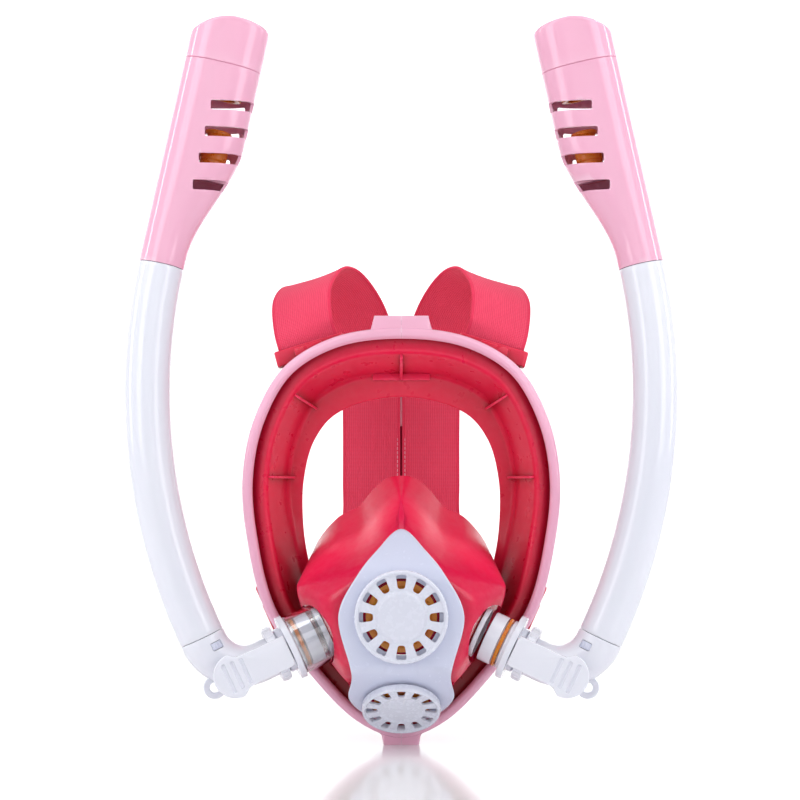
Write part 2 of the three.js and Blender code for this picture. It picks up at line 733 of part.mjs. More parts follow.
function headBody() {
  const outer = headSpace(0, GAP, HEAD_HIGH);
  const cavity = headSpace(HEAD_WALL, -2, HEAD_HIGH + 2);
  const partition = block([4, -20, 32], [5.6, 20, HEAD_HIGH - 2]);
  const floor = placed(block([0, -20, -0.8], [40, 20, 0.8]),
    new THREE.Matrix4().makeRotationY(-0.35).setPosition(4.2, 0, 31));
  const shelf = block([5, -3, FLOAT.low - 3], [40, 3, FLOAT.low - 1]);
  const seatPlate = block([5, -20, 99.8], [40, 20, 101.4])
    .subtract(solid(geometry(bar(5.6, 90, 110, 16)).translate(FLOAT.x, 0, 0)));
  const anchored = headSpace(HEAD_WALL / 2, 1, HEAD_HIGH - 1);
  const inner = anchored.intersect(partition.add(floor).add(shelf).add(seatPlate));
  let made = outer.subtract(cavity).add(inner);
  for (let i = 0; i < 4; i++) {
    const s = SLOT_LOW + i * SLOT_PITCH;
    made = made.subtract(headSlot(s, 40, -SLOT_APART - SLOT_DEPTH));
    const inside = headWidth(s) - TUBE_OUTER - SLOT_START - 3.2;
    if (i > 0) made = made.subtract(headSlot(s, inside, SLOT_APART));
  }
  return made;
}

// A slot level with the ground. The front ones run out through the inner edge; those behind stop inside it.
function headSlot(s, long, near) {
  const r = SLOT_HIGH / 2;
  const corner = 1.1;
  const shape = new THREE.Shape();
  shape.moveTo(corner, -r);
  shape.lineTo(long, -r);
  shape.lineTo(long, r);
  shape.lineTo(corner, r);
  shape.lineTo(0, r - corner);
  shape.lineTo(0, corner - r);
  const slab = new THREE.ExtrudeGeometry(shape, { depth: SLOT_DEPTH, bevelEnabled: false });
  slab.translate(0, 0, near).rotateX(Math.PI / 2).rotateY(-WORLD_LEAN).translate(SLOT_START, 0, s);
  return solid(slab);
}

// Height of the cap above the head: low at the outer edge, high over the float.
function capRise(x) {
  const peak = 11;
  if (x < peak) return 26.6 - 10.5 * ((peak - x) / (peak + TUBE_OUTER)) ** 2;
  return 26.6 - 2.6 * ((x - peak) / (HEAD_WIDE - TUBE_OUTER - peak)) ** 2;
}

const CAP_RINGS = [[0, 1], [0.88, 1], [0.96, 0.965], [1, 0.88]];

function capSkin(wall) {
  return CAP_RINGS.map(([part, scale]) => headRing(
    HEAD_HIGH, wall, (x) => HEAD_HIGH + GAP + part * (capRise(x) - wall), scale,
  ));
}

function headCap() {
  const below = headRing(HEAD_HIGH, 2, () => HEAD_HIGH - 2);
  return loft(capSkin(0)).subtract(loft([below, ...capSkin(2)]));
}

function floatBody() {
  const { radius, low, high } = FLOAT;
  return solid(geometry(turned([
    [0, low], [radius - 2, low], [radius, low + 2.5], [radius, high - 7], [radius - 1.6, high - 6],
    [radius - 1.6, high - 3], [radius, high - 2], [radius, high - 0.8], [radius - 1, high], [0, high],
  ], 14)).translate(FLOAT.x, 0, 0));
}

function floatSeat() {
  return solid(geometry(collar(5, 8.2, 96.8, 99.5, 14)).translate(FLOAT.x, 0, 0));
}

function inletSeat() {
  return collar(12, 14.2, -19.6, -17, 16).add(bar(2.4, -19.6, -17.6, 8))
    .add(spokes(1.5, 13, 1.6, -19.6, -17.8, 3));
}

function inletFlap() {
  return bar(13.2, -20.9, -19.9, 16);
}

// ---------------------------------------------------------------- straps

// Stops along a strap: where its middle runs, and its width's direction in degrees from level.
const STRAP_STOPS = [
  { at: [51, -12, 99], lean: -30 },
  { at: [55, -9, 113], lean: -27 },
  { at: [56, 0, 130], lean: -21 },
  { at: [50, 18, 140], lean: -17 },
  { at: [38, 38, 137], lean: -22 },
  { at: [25, 56, 119], lean: -20 },
  { at: [18.2, 68, 92], lean: -6 },
  { at: [17.6, 73, 60], lean: 0 },
  { at: [17.6, 74, 24], lean: 0 },
  { at: [18, 74, 0], lean: 2 },
  { at: [24, 73, -22], lean: 30 },
  { at: [40, 64, -38], lean: 54 },
  { at: [59, 40, -46], lean: 64 },
  { at: [70, 12, -49], lean: 66 },
  { at: [71, -6, -50], lean: 66 },
];

const strapRoute = new THREE.CatmullRomCurve3(
  STRAP_STOPS.map((stop) => new THREE.Vector3(...stop.at)), false, "centripetal",
);

// The strap's frame part of the way along its route: X across the band, Y out of its face.
function strapFrame(part) {
  const last = STRAP_STOPS.length - 1;
  const stop = Math.min(Math.floor(part * last), last - 1);
  const mix = part * last - stop;
  const lean = THREE.MathUtils.degToRad(
    THREE.MathUtils.lerp(STRAP_STOPS[stop].lean, STRAP_STOPS[stop + 1].lean, mix),
  );
  const wish = new THREE.Vector3(Math.cos(lean), 0, Math.sin(lean));
  const along = strapRoute.getTangent(part);
  const face = along.clone().cross(wish).normalize();
  const across = face.clone().cross(along).normalize();
  return frame(across, face, across.clone().cross(face), strapRoute.getPoint(part));
}

function strap() {
  const steps = 2 * (STRAP_STOPS.length - 1);
  const corners = [[1, 1], [-1, 1], [-1, -1], [1, -1]];
  const rings = Array.from({ length: steps + 1 }, (_, i) => {
    const place = strapFrame(i / steps);
    return corners.map(([u, v]) => new THREE.Vector3((u * STRAP_WIDE) / 2, (v * STRAP_THICK) / 2, 0)
      .applyMatrix4(place));
  });
  return loft(rings);
}

// A stitched tape that joins the two straps down the back.
function strapSeam() {
  const back = 74 + STRAP_THICK / 2 + GAP;
  return block([-4, back, 6], [4, back + 1, 58]);
}

// A clip at a strap's end: a flat loop that the band passes through, with an arm towards the rim.
function strapClip(arm) {
  const half = STRAP_WIDE / 2;
  const outer = block([-half - 3, -3.2, -4.5], [half + 3, 3.2, 4.5]);
  return outer.subtract(block([-half - 0.6, -1.5, -9], [half + 0.6, 1.5, 9])).add(arm);
}

// ---------------------------------------------------------------- materials

function finish(color, roughness, opacity = 1) {
  return new THREE.MeshStandardMaterial({
    color, roughness, metalness: 0, opacity, transparent: opacity < 1,
  });
}

const looks = {
  clear: () => finish("#dfe6ee", 0.05, 0.35),
  pink: () => finish("#ebb0c8", 0.25),
  white: () => finish("#dcdee9", 0.3),
  panel: () => finish("#c4c9df", 0.35),
  silicone: () => finish("#d81850", 0.5),
  cup: () => finish("#e62d62", 0.45),
  strap: () => finish("#f04868", 0.9),
  amber: () => finish("#e8701a", 0.35),
  steel: () => {
    const metal = finish("#c8cacc", 0.3);
    metal.metalness = 1;
    return metal;
  },
};

// ---------------------------------------------------------------- assembly

const snorkel = new THREE.Group();

function add(parent, name, made, look) {
  const mesh = new THREE.Mesh(geometry(made), looks[look]());
  mesh.name = name;
  parent.add(mesh);
}

function group(parent, matrix) {
  const made = new THREE.Group();
  made.applyMatrix4(matrix);
  parent.add(made);
  return made;
}

add(snorkel, "lens", lens(), "clear");
add(snorkel, "frame_left", frameHalf(1), "pink");
add(snorkel, "frame_right", frameHalf(-1), "pink");
add(group(snorkel, screwMatrix(TAB_TOP)), "frame_screw_top", screwShape(0), "steel");
add(group(snorkel, screwMatrix(TAB_BOTTOM)), "frame_screw_bottom", screwShape(0), "steel");
add(snorkel, "face_skirt", faceSkirt(), "silicone");
add(snorkel, "nose_cup", noseCup(), "cup");
add(snorkel, "front_panel", frontPanel(), "panel");
add(snorkel, "strap_seam", strapSeam(), "strap");

for (const [name, valve] of [["main_valve", MAIN_VALVE], ["drain_valve", DRAIN_VALVE]]) {
  const place = group(snorkel, valveFrame(valve));
  add(place, name + "_seat", valveSeat(valve.radius), "silicone");
  add(place, name + "_diaphragm", valveDiaphragm(valve.radius), "amber");
  add(place, name + "_cover", valveCover(valve.radius), "white");
}

for (const [side, sign] of [["left", 1], ["right", -1]]) {
  const half = group(snorkel, new THREE.Matrix4().makeScale(sign, 1, 1));
  add(half, "strap_" + side, strap(), "strap");
  const topArm = block([-8, -7.6, -2.4], [8, -3, 2.4]);
  const bottomArm = block([-9, -3, 4], [9, -1.6, 8.6]);
  add(group(half, strapFrame(0)), "strap_clip_top_" + side, strapClip(topArm), "silicone");
  add(group(half, strapFrame(1)), "strap_clip_bottom_" + side, strapClip(bottomArm), "silicone");

  const port = group(half, portFrame);
  add(port, "inlet_seat_" + side, inletSeat(), "white");
  add(port, "inlet_flap_" + side, inletFlap(), "silicone");
  add(port, "elbow_" + side, elbow(), "white");
  add(port, "port_o_ring_" + side, ringSeal(12.95, 1.05, -4.9), "amber");
  add(port, "lock_collar_" + side, collar(11.6, 15.5, 6.8, 12.2, 18), "white");
  add(port, "lock_lever_" + side, lockLever(), "white");
  add(port, "lever_pin_" + side, pinBar(1.2, 8), "steel");
  add(port, "lever_spring_" + side, leverSpring(), "steel");

  const foot = group(port, tubeFrame);
  add(foot, "tube_latch_" + side, latchBox(0, 9.6, 12.3), "panel");
  add(foot, "tube_o_ring_" + side, ringSeal(8.25, 0.75, FOOT.low + 1.6), "amber");
  add(foot, "tube_" + side, tube(), "white");

  const head = group(foot, headFrame);
  add(head, "snorkel_head_" + side, headBody(), "pink");
  add(head, "head_cap_" + side, headCap(), "pink");
  add(head, "float_" + side, floatBody(), "amber");
  add(head, "float_seat_" + side, floatSeat(), "amber");
}

export default snorkel;
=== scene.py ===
# A full face snorkel mask with two swivelling snorkels. Shapes are drawn in millimetres in the CAD frame,
# with +Z up, the wearer looking along -Y and +X on the wearer's left, and go into Blender in metres.
import math

import bmesh
import bpy
import numpy as np
from mathutils import Matrix, Vector


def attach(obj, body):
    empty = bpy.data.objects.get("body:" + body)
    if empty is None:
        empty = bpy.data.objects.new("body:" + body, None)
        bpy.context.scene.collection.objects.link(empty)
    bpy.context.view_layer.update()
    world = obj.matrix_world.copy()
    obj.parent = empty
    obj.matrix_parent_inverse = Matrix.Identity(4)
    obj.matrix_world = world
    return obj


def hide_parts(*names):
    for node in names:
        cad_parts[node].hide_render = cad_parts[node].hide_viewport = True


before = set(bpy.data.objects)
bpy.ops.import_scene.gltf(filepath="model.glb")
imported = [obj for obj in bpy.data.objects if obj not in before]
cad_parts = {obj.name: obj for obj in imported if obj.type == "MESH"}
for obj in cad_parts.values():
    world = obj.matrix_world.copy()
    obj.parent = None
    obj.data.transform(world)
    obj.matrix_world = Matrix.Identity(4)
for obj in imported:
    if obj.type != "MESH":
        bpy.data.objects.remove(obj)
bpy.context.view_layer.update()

MM = 0.001
FINE = 192  # points round the mask's outline
ROUND = 72  # points round a tube
SIDES = (("left", 1), ("right", -1))

# ---------------- driving dimensions, as in the CAD

GAP = 0.3  # running gap between two touching pieces
BEND = 0.0022  # how fast the mask curves back round the face, per mm
RIM_HALF = [
    [0, 111], [37, 106], [65, 89.5], [82, 60], [88.3, 28],
    [86, -4], [75, -46], [50, -80], [23.5, -105.5], [0, -114],
]
OPENING_HALF = [[0, 73], [36, 64], [49, 48.8], [55, 27], [55.6, 5], [53, -16], [45, -42], [29, -66], [0, -82]]
PANEL_HALF = [
    [0, 2], [13.4, -9.5], [23.5, -22], [33.5, -43], [26.5, -76], [28.2, -90], [16.5, -101.4], [0, -103.6],
]
BULGE_HALF = [
    [0, 15], [11, 3], [24, -11], [42, -18], [64, -28], [61, -48], [47, -73], [30.8, -91], [17, -102.6],
    [0, -105.2],
]
CUP_HALF = [
    [0, 29], [9, 27], [16, 20.8], [24, 11.6], [36, 5], [50, -15], [47, -38], [34, -61], [17, -76], [0, -80],
]
FRAME_FRONT = -45.6
FRAME_BACK = -28
FRAME_FACE = 6
FRAME_WALL = 1.9
TAB_TOP = (15.8, 117.7)  # half width and height
TAB_BOTTOM = (10.3, -118)
TAB_FRONT = -43
TAB_BACK = -31
LENS_FLANGE_FRONT = -40.7
LENS_FLANGE_BACK = -37.7
LENS_WALL = 2.2
LENS_FOOT = FRAME_FACE + 1.4  # inset of the lens wall's foot
LENS_SIDE, LENS_TOP, LENS_BOTTOM = 17, 10, 8.4  # inset of the front window
FLANGE_EDGE = 2.3  # inset of the lens flange and of the skirt's edge
VISOR_Y = -61
CHIN_RECESS = 17
CHIN_START = -20
MAIN_VALVE = (-86, -43.9, 25, 0)  # y, z, radius and tilt
DRAIN_VALVE = (-64, -91.4, 21.3, math.radians(50))
NOSE_SLOPE = 0.7
NOSE_START = -22
BULGE_CENTRE = -45
PANEL_LIFT = 0.4
PANEL_WALL = 2.4
SLOTS = 12
PANEL_INSET, SEAT_INSET, DISC_INSET = 4.6, 5.4, 6.4  # from a valve cover's edge
PORT = Vector((59.3, -60, -62.3))
PORT_DROP = math.radians(25)
PORT_TIP = math.radians(8)
SOCKET_OUTER, SOCKET_INNER = 16.5, 14.5
SPIGOT = 13.9
STUB = 11
BORE = 9.2
CORNER = 42
ELBOW_RADIUS = 23
ELBOW_WIDE = 12.5
FOOT_SOCKET = 9.55
EYELET_OUT = 47.1  # along the port
LATCH_HIGH = 18.6  # up the tube's foot
LATCH_TURN = math.radians(25)  # round from the front towards the mask
LUG_LOW, LUG_HIGH = 18.5, 25.5  # the lever's lug and cheeks, along the port
PIN_HIGH, PIN_OUT = 13, 22
TUBE_START = 25.6
TUBE_OUTER = 12.4
TUBE_BORE = 10.6
TUBE_BEND = 315
TUBE_TURN = math.radians(37.5)
HEAD_HIGH = 114
HEAD_WIDE = 42.4
HEAD_DEEP = 15.4
HEAD_WALL = 1.8
SLOT_LOW, SLOT_PITCH, SLOT_HIGH, SLOT_START = 45.4, 14.85, 5.4, 6.6
SLOT_APART, SLOT_FAR = 1.5, 20  # how deep a slot starts and ends, from the head's middle
SLOT_MARGIN = 3.2  # wall left between a slot behind and the inner edge
SEAT_LOW, SEAT_HIGH = 99.8, 101.4  # the plate that holds the float's seat
FLOAT_X = 14.6
FLOAT_RADIUS = 7.4
WORLD_LEAN = math.radians(12.5)
STRAP_WIDE = 34
STRAP_THICK = 1.6
SEAM_LOW, SEAM_HIGH, SEAM_HALF = 6, 58, 4
SEAM_BACK = 74 + STRAP_THICK / 2 + GAP

# ---------------- shapes


class Shape:
    """Points in millimetres and the faces between them, with a weave coordinate for cloth."""

    def __init__(self, points, faces, weave=None):
        self.points = np.asarray(points, float).reshape(-1, 3)
        self.faces = [tuple(int(i) for i in f) for f in faces]
        self.weave = weave

    def moved(self, matrix):
        turn = np.array(matrix)
        return Shape(self.points @ turn[:3, :3].T + turn[:3, 3], self.faces, self.weave)

    def __add__(self, other):
        faces = self.faces + [tuple(i + len(self.points) for i in f) for f in other.faces]
        return Shape(np.vstack([self.points, other.points]), faces)


def joined(shapes):
    """Several shapes as one."""
    together = shapes[0]
    for shape in shapes[1:]:
        together = together + shape
    return together


def loft(rings, caps=True, loop=False):
    """A skin through rings of points, closed by flat ends or back to its first ring."""
    rings = np.asarray(rings, float)
    count, sides = rings.shape[:2]
    faces = []
    for r in range(count if loop else count - 1):
        low, high = r * sides, (r + 1) % count * sides
        for i in range(sides):
            j = (i + 1) % sides
            faces.append((low + i, low + j, high + j, high + i))
    if caps and not loop:
        faces.append(tuple(reversed(range(sides))))
        faces.append(tuple(range((count - 1) * sides, count * sides)))
    return Shape(rings, faces)


def rounded(corners, radius, steps=4, closed=False):
    """A line through corners with each one rounded off."""
    corners = np.asarray(corners, float)
    count = len(corners)
    out = []
    for i, here in enumerate(corners):
        if not closed and i in (0, count - 1):
            out.append(here)
            continue
        before, after = corners[i - 1] - here, corners[(i + 1) % count] - here
        back, on = np.linalg.norm(before), np.linalg.norm(after)
        cut_off = min(radius, 0.45 * back, 0.45 * on)
        start, end = here + before / back * cut_off, here + after / on * cut_off
        for t in np.linspace(0, 1, steps + 1):
            out.append((1 - t) ** 2 * start + 2 * t * (1 - t) * here + t * t * end)
    return np.array(out)


def rounded_box(low, high, radius, steps=4):
    """A flat box between two corners, with its own corners rounded."""
    return rounded([low, (high[0], low[1]), high, (low[0], high[1])], radius, steps, True)


def circle(sides):
    """Angles spaced evenly round a circle."""
    return np.linspace(0, 2 * math.pi, sides, endpoint=False)


def spun(line, sides):
    """Rings made by turning each (radius, height) of a line about Z."""
    x, y = np.cos(circle(sides)), np.sin(circle(sides))
    return [np.column_stack([r * x, r * y, np.full(sides, h)]) for r, h in line]


def turned(profile, sides=ROUND, radius=0.0):
    """A profile of (radius, height) turned about Z, its corners rounded. It starts and ends on the axis."""
    line = rounded(profile, radius) if radius else np.asarray(profile, float)
    return loft(spun(line, sides), caps=False)


def turned_ring(profile, sides=ROUND, radius=0.3):
    """A closed profile of (radius, height) turned about Z, its corners rounded."""
    return loft(spun(rounded(profile, radius, closed=True), sides), loop=True)


def collar(inner, outer, low, high, sides=ROUND, radius=0.3):
    """A ring between two radii and two heights, with rounded edges."""
    return turned_ring([(inner, low), (outer, low), (outer, high), (inner, high)], sides, radius)


def rod(radius, low, high, sides=ROUND, soft=0.0):
    """A round bar about Z, its edges rounded if soft."""
    return turned([(0, low), (radius, low), (radius, high), (0, high)], sides, soft)


def slab(outline_points, low, high):
    """A flat outline (x, y) drawn out between two heights."""
    flat = np.asarray(outline_points, float)
    return loft([np.column_stack([flat, np.full(len(flat), h)]) for h in (low, high)])


def block(low, high):
    corners = [(low[0], low[1]), (high[0], low[1]), (high[0], high[1]), (low[0], high[1])]
    return slab(corners, low[2], high[2])


def work_object(shape, unit=1.0):
    mesh = bpy.data.meshes.new("work")
    mesh.from_pydata((shape.points * unit).tolist(), [], shape.faces)
    build = bmesh.new()
    build.from_mesh(mesh)
    bmesh.ops.remove_doubles(build, verts=build.verts, dist=1e-4 * unit)
    bmesh.ops.recalc_face_normals(build, faces=build.faces)
    build.to_mesh(mesh)
    build.free()
    made = bpy.data.objects.new("work", mesh)
    bpy.context.scene.collection.objects.link(made)
    return made


def modified(shape, settings, others=()):
    """A shape after modifiers, each given as (kind, {setting: value})."""
    body = work_object(shape)
    helpers = [work_object(other) for other in others]
    for kind, values in settings:
        modifier = body.modifiers.new(kind, kind)
        for key, value in values.items():
            setattr(modifier, key, helpers[value] if key == "object" else value)
    mesh = body.evaluated_get(bpy.context.evaluated_depsgraph_get()).to_mesh()
    points = [v.co[:] for v in mesh.vertices]
    faces = [p.vertices[:] for p in mesh.polygons]
    for helper in [body, *helpers]:
        data = helper.data
        bpy.data.objects.remove(helper)
        bpy.data.meshes.remove(data)
    return Shape(points, faces)


def cut(shape, *tools, operation="DIFFERENCE"):
    settings = [
        ("BOOLEAN", {"operation": operation, "solver": "EXACT", "object": i}) for i in range(len(tools))
    ]
    return modified(shape, settings, tools)


def softened(shape, width, segments=2, angle=40):
    """A shape with its sharp edges rounded."""
    values = {
        "width": width, "segments": segments, "limit_method": "ANGLE", "angle_limit": math.radians(angle),
        "use_clamp_overlap": True,
    }
    return modified(shape, [("BEVEL", values)])


def soft_block(low, high, width, segments=2):
    return softened(block(low, high), width, segments)


def around(shape, count):
    """Copies of a shape spaced evenly about Z, as one shape."""
    turns = [Matrix.Rotation(i * 2 * math.pi / count, 4, "Z") for i in range(count)]
    return joined([shape.moved(turn) for turn in turns])


def piece(name, shape, look, body, nodes=(), sharp=38):
    """A Blender object from a shape, riding on a CAD body and standing for CAD nodes."""
    material, finish = look
    made = work_object(shape, MM)
    made.name = made.data.name = name
    if shape.weave is not None:
        attribute = made.data.attributes.new("weave", "FLOAT_VECTOR", "POINT")
        attribute.data.foreach_set("vector", np.asarray(shape.weave, np.float32).ravel())
    for polygon in made.data.polygons:
        polygon.use_smooth = True
    made.data.set_sharp_from_angle(angle=math.radians(sharp))
    made.data.materials.append(material)
    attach(made, body)
    if nodes:
        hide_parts(*nodes)


def mirror(sign):
    """The wearer's left side for 1, and its mirror image for -1."""
    return Matrix.Diagonal((sign, 1, 1, 1))


def on_both_sides(name, shape, look, body, node, sharp=38):
    """A piece of the wearer's left side and its mirror image on the right."""
    for side, sign in SIDES:
        where = body if body == "mask" else f"{body}_{side}"
        piece(f"{name}_{side}", shape.moved(mirror(sign)), look, where, [f"{node}_{side}"], sharp)


# ---------------- outlines and surfaces


def spline(stops, closed, parts):
    """Points of a centripetal Catmull-Rom curve through stops, at parts from 0 to 1, and its directions."""
    stops = np.asarray(stops, float)
    count = len(stops)
    places, ways = [], []
    for part in parts:
        at = (count if closed else count - 1) * part
        i = min(int(at), count - (1 if closed else 2))
        t = at - i
        here, after = stops[i % count], stops[(i + 1) % count]
        before = stops[(i - 1) % count] if closed or i > 0 else 2 * stops[0] - stops[1]
        last = stops[(i + 2) % count] if closed or i + 2 < count else 2 * stops[-1] - stops[-2]
        d0, d1, d2 = (np.linalg.norm(b - a) ** 0.5 for a, b in ((before, here), (here, after), (after, last)))
        m1 = ((here - before) / d0 - (after - before) / (d0 + d1) + (after - here) / d1) * d1
        m2 = ((after - here) / d1 - (last - here) / (d1 + d2) + (last - after) / d2) * d1
        c2 = -3 * here + 3 * after - 2 * m1 - m2
        c3 = 2 * here - 2 * after + m1 + m2
        places.append(here + m1 * t + c2 * t * t + c3 * t ** 3)
        ways.append(m1 + 2 * c2 * t + 3 * c3 * t * t)
    return np.array(places), np.array(ways)


def outline(half, count=FINE):
    """A closed outline through a half outline and its mirror image, top centre first, then +X."""
    stops = [*half, *[(-x, z) for x, z in reversed(half[1:-1])]]
    dense, _ = spline(stops, True, np.linspace(0, 1, 40 * len(stops) + 1))
    lengths = np.concatenate([[0], np.cumsum(np.linalg.norm(np.diff(dense, axis=0), axis=1))])
    wanted = np.linspace(0, lengths[-1], count, endpoint=False)
    return np.column_stack([np.interp(wanted, lengths, dense[:, k]) for k in (0, 1)])


def inset(points, amount):
    """An outline moved inwards, by an amount that may depend on the way the edge faces."""
    along = np.roll(points, -1, axis=0) - np.roll(points, 1, axis=0)
    along /= np.linalg.norm(along, axis=1)[:, None]
    inward = np.column_stack([along[:, 1], -along[:, 0]])
    distance = amount(-inward[:, 1]) if callable(amount) else np.full(len(points), amount)
    return points + inward * distance[:, None]


def shrunk(points, scale, centre):
    return np.column_stack([points[:, 0] * scale, centre + (points[:, 1] - centre) * scale])


def ring(points, depth):
    """An outline in space, at a depth or on a surface, curved back round the face."""
    x, z = points[:, 0], points[:, 1]
    y = depth(x, z) if callable(depth) else np.full(len(points), float(depth))
    return np.column_stack([x, y + BEND * x * x, z])


def smooth(t):
    t = np.clip(t, 0, 1)
    return t * t * (3 - 2 * t)


def reach(points, centre):
    """The distance from a centre to an outline, by direction."""
    angles = np.arctan2(points[:, 0], points[:, 1] - centre)
    order = np.argsort(angles)
    far = np.hypot(points[:, 0], points[:, 1] - centre)
    return lambda x, z: np.interp(
        np.arctan2(x, z - centre), angles[order], far[order], period=2 * math.pi,
    )


RIM = outline(RIM_HALF)
PANEL = outline(PANEL_HALF)
BULGE = outline(BULGE_HALF)
panel_reach = reach(PANEL, BULGE_CENTRE)
bulge_reach = reach(BULGE, BULGE_CENTRE)


def soft_max(a, b, width):
    """The larger of two depths, with the crease between them rounded."""
    gap = np.clip(0.5 + (a - b) / (2 * width), 0, 1)
    return b + (a - b) * gap + width * gap * (1 - gap)


def facet_depth(z):
    """Depth of the bulge's front: an upper nose facet, the flat valve face and the lower chin facet."""
    nose = MAIN_VALVE[0] + NOSE_SLOPE * (z - NOSE_START)
    chin = DRAIN_VALVE[0] - math.tan(DRAIN_VALVE[3]) * (z - DRAIN_VALVE[1])
    return soft_max(soft_max(np.full_like(z, MAIN_VALVE[0]), nose, 2.5), chin, 2.0)


def lens_depth(x, z):
    """Depth of the lens's outer surface inside its front edge, before the bend."""
    visor = VISOR_Y + CHIN_RECESS * smooth((CHIN_START - z) / (CHIN_START - BULGE_HALF[-1][1]))
    inner, outer = panel_reach(x, z), bulge_reach(x, z)
    away = np.hypot(x, z - BULGE_CENTRE)
    rise = np.sin(np.clip((outer - away) / (outer - inner), 0, 1) * math.pi / 2)
    return visor + np.minimum(0, facet_depth(z) - BEND * x * x - visor) * rise


def inside_depth(x, z):
    """Depth of the lens's inner surface."""
    step = 0.5
    across = (lens_depth(x + step, z) - lens_depth(x - step, z)) / (2 * step)
    up = (lens_depth(x, z + step) - lens_depth(x, z - step)) / (2 * step)
    return lens_depth(x, z) + LENS_WALL * np.minimum(np.sqrt(1 + across ** 2 + up ** 2), 1.9)


# ---------------- frames of the turned groups


def axes(x, y, z, origin=(0, 0, 0)):
    made = Matrix([Vector(x), Vector(y), Vector(z)]).transposed().to_4x4()
    made.translation = Vector(origin)
    return made


port_out = Vector((
    math.cos(PORT_DROP) * math.cos(PORT_TIP), -math.sin(PORT_TIP), -math.sin(PORT_DROP) * math.cos(PORT_TIP),
))
port_up = Vector((math.sin(PORT_DROP), 0, math.cos(PORT_DROP)))
port_frame = axes(port_up, port_out.cross(port_up), port_out, PORT)
tube_frame = port_frame @ axes((0, 0, -1), (0, 1, 0), (1, 0, 0), (0, 0, CORNER))
head_place = Matrix.Rotation(TUBE_TURN, 4, "Y")
head_place.translation = Vector((
    TUBE_BEND * (1 - math.cos(TUBE_TURN)), 0, TUBE_START + TUBE_BEND * math.sin(TUBE_TURN),
))
head_frame = tube_frame @ head_place
float_place = Matrix.Translation((FLOAT_X, 0, 0))  # in the head's frame


def valve_frame(valve):
    y, z, _, tilt = valve
    out = Vector((0, -math.cos(tilt), -math.sin(tilt)))
    across = Vector((1, 0, 0))
    return axes(across, out.cross(across), out, (0, y, z))


# ---------------- materials


def srgb(code):
    """A colour written as #rrggbb, in linear light."""
    values = [int(code[i:i + 2], 16) / 255 for i in (1, 3, 5)]
    return [((v + 0.055) / 1.055) ** 2.4 if v > 0.04045 else v / 12.92 for v in values] + [1]


class Look:
    """A material, and short ways to add nodes to it."""

    def __init__(self, name, colour, roughness, settings=None):
        self.material = bpy.data.materials.new(name)
        self.material.use_nodes = True
        self.tree = self.material.node_tree
        self.shader = self.tree.nodes["Principled BSDF"]
        self.shader.inputs["Base Color"].default_value = srgb(colour)
        self.shader.inputs["Roughness"].default_value = roughness
        for key, value in (settings or {}).items():
            self.shader.inputs[key].default_value = value
        self.place = self.node("ShaderNodeTexCoord").outputs["Object"]
        self.normal = None

    def node(self, kind, inputs=None, **properties):
        made = self.tree.nodes.new(kind)
        for key, value in properties.items():
            setattr(made, key, value)
        for key, value in (inputs or {}).items():
            if isinstance(value, bpy.types.NodeSocket):
                self.tree.links.new(value, made.inputs[key])
            else:
                made.inputs[key].default_value = value
        return made

    def noise(self, scale, detail=3.0, vector=None):
        inputs = {"Vector": vector or self.place, "Scale": scale, "Detail": detail}
        return self.node("ShaderNodeTexNoise", inputs).outputs["Fac"]

    def mapped(self, value, low, high, start=0.3, end=0.7):
        inputs = {"Value": value, "From Min": start, "From Max": end, "To Min": low, "To Max": high}
        return self.node("ShaderNodeMapRange", inputs).outputs["Result"]

    def sum(self, operation, a, b=0.0):
        return self.node("ShaderNodeMath", {0: a, 1: b}, operation=operation).outputs[0]

    def mixed(self, factor, a, b):
        return self.node("ShaderNodeMix", {0: factor, 6: a, 7: b}, data_type="RGBA").outputs[2]

    def feed(self, socket, value):
        self.tree.links.new(value, self.shader.inputs[socket])

    def bump(self, height, distance, strength=1.0):
        inputs = {"Height": height, "Distance": distance, "Strength": strength}
        if self.normal:
            inputs["Normal"] = self.normal
        self.normal = self.node("ShaderNodeBump", inputs).outputs["Normal"]
        self.feed("Normal", self.normal)

    def grain(self, scale, detail, distance, strength):
        """Bumps from a noise."""
        self.bump(self.noise(scale, detail), distance, strength)

    def worn(self, scale, detail, low, high):
        """A roughness that wanders between two values."""
        self.feed("Roughness", self.mapped(self.noise(scale, detail), low, high))

    def hollow_shade(self, distance, most, low, high):
        """Painted shade: a mask from ambient occlusion, near its most in recesses and 0 on open surfaces."""
        open_sky = self.node("ShaderNodeAmbientOcclusion", {"Distance": distance}, samples=8).outputs["AO"]
        return self.mapped(open_sky, most, 0, low, high)

    def edges(self):
        """Near 1 on convex edges and 0 elsewhere."""
        return self.mapped(self.node("ShaderNodeNewGeometry").outputs["Pointiness"], 0, 1, 0.52, 0.60)


def plastic(name, base, shade, pale, rough, coat=0.35, under=0.06):
    """Glossy moulded plastic: slow colour drift, faint flow marks, a fine skin and paler edges."""
    look = Look(name, base, rough, {
        "Coat Weight": coat, "Coat Roughness": 0.06, "IOR": 1.5,
        "Subsurface Weight": under, "Subsurface Radius": (0.8, 0.6, 0.7), "Subsurface Scale": 0.003,
    })
    drift = look.mapped(look.noise(9, 1), 0, 1)
    stretched = look.node("ShaderNodeMapping", {"Vector": look.place, "Scale": (1, 1, 0.22)}).outputs[0]
    flow = look.mapped(look.noise(40, 2, stretched), 0, 0.08)
    colour = look.mixed(look.sum("MULTIPLY", drift, 0.22), srgb(base), srgb(shade))
    colour = look.mixed(flow, colour, srgb(pale))
    colour = look.mixed(look.sum("MULTIPLY", look.edges(), 0.35), colour, srgb(pale))
    look.feed("Base Color", colour)
    look.worn(420, 5, rough - 0.03, rough + 0.04)
    look.grain(900, 2, 0.00001, 0.18)
    look.grain(30, 1, 0.00004, 0.12)
    return look.material


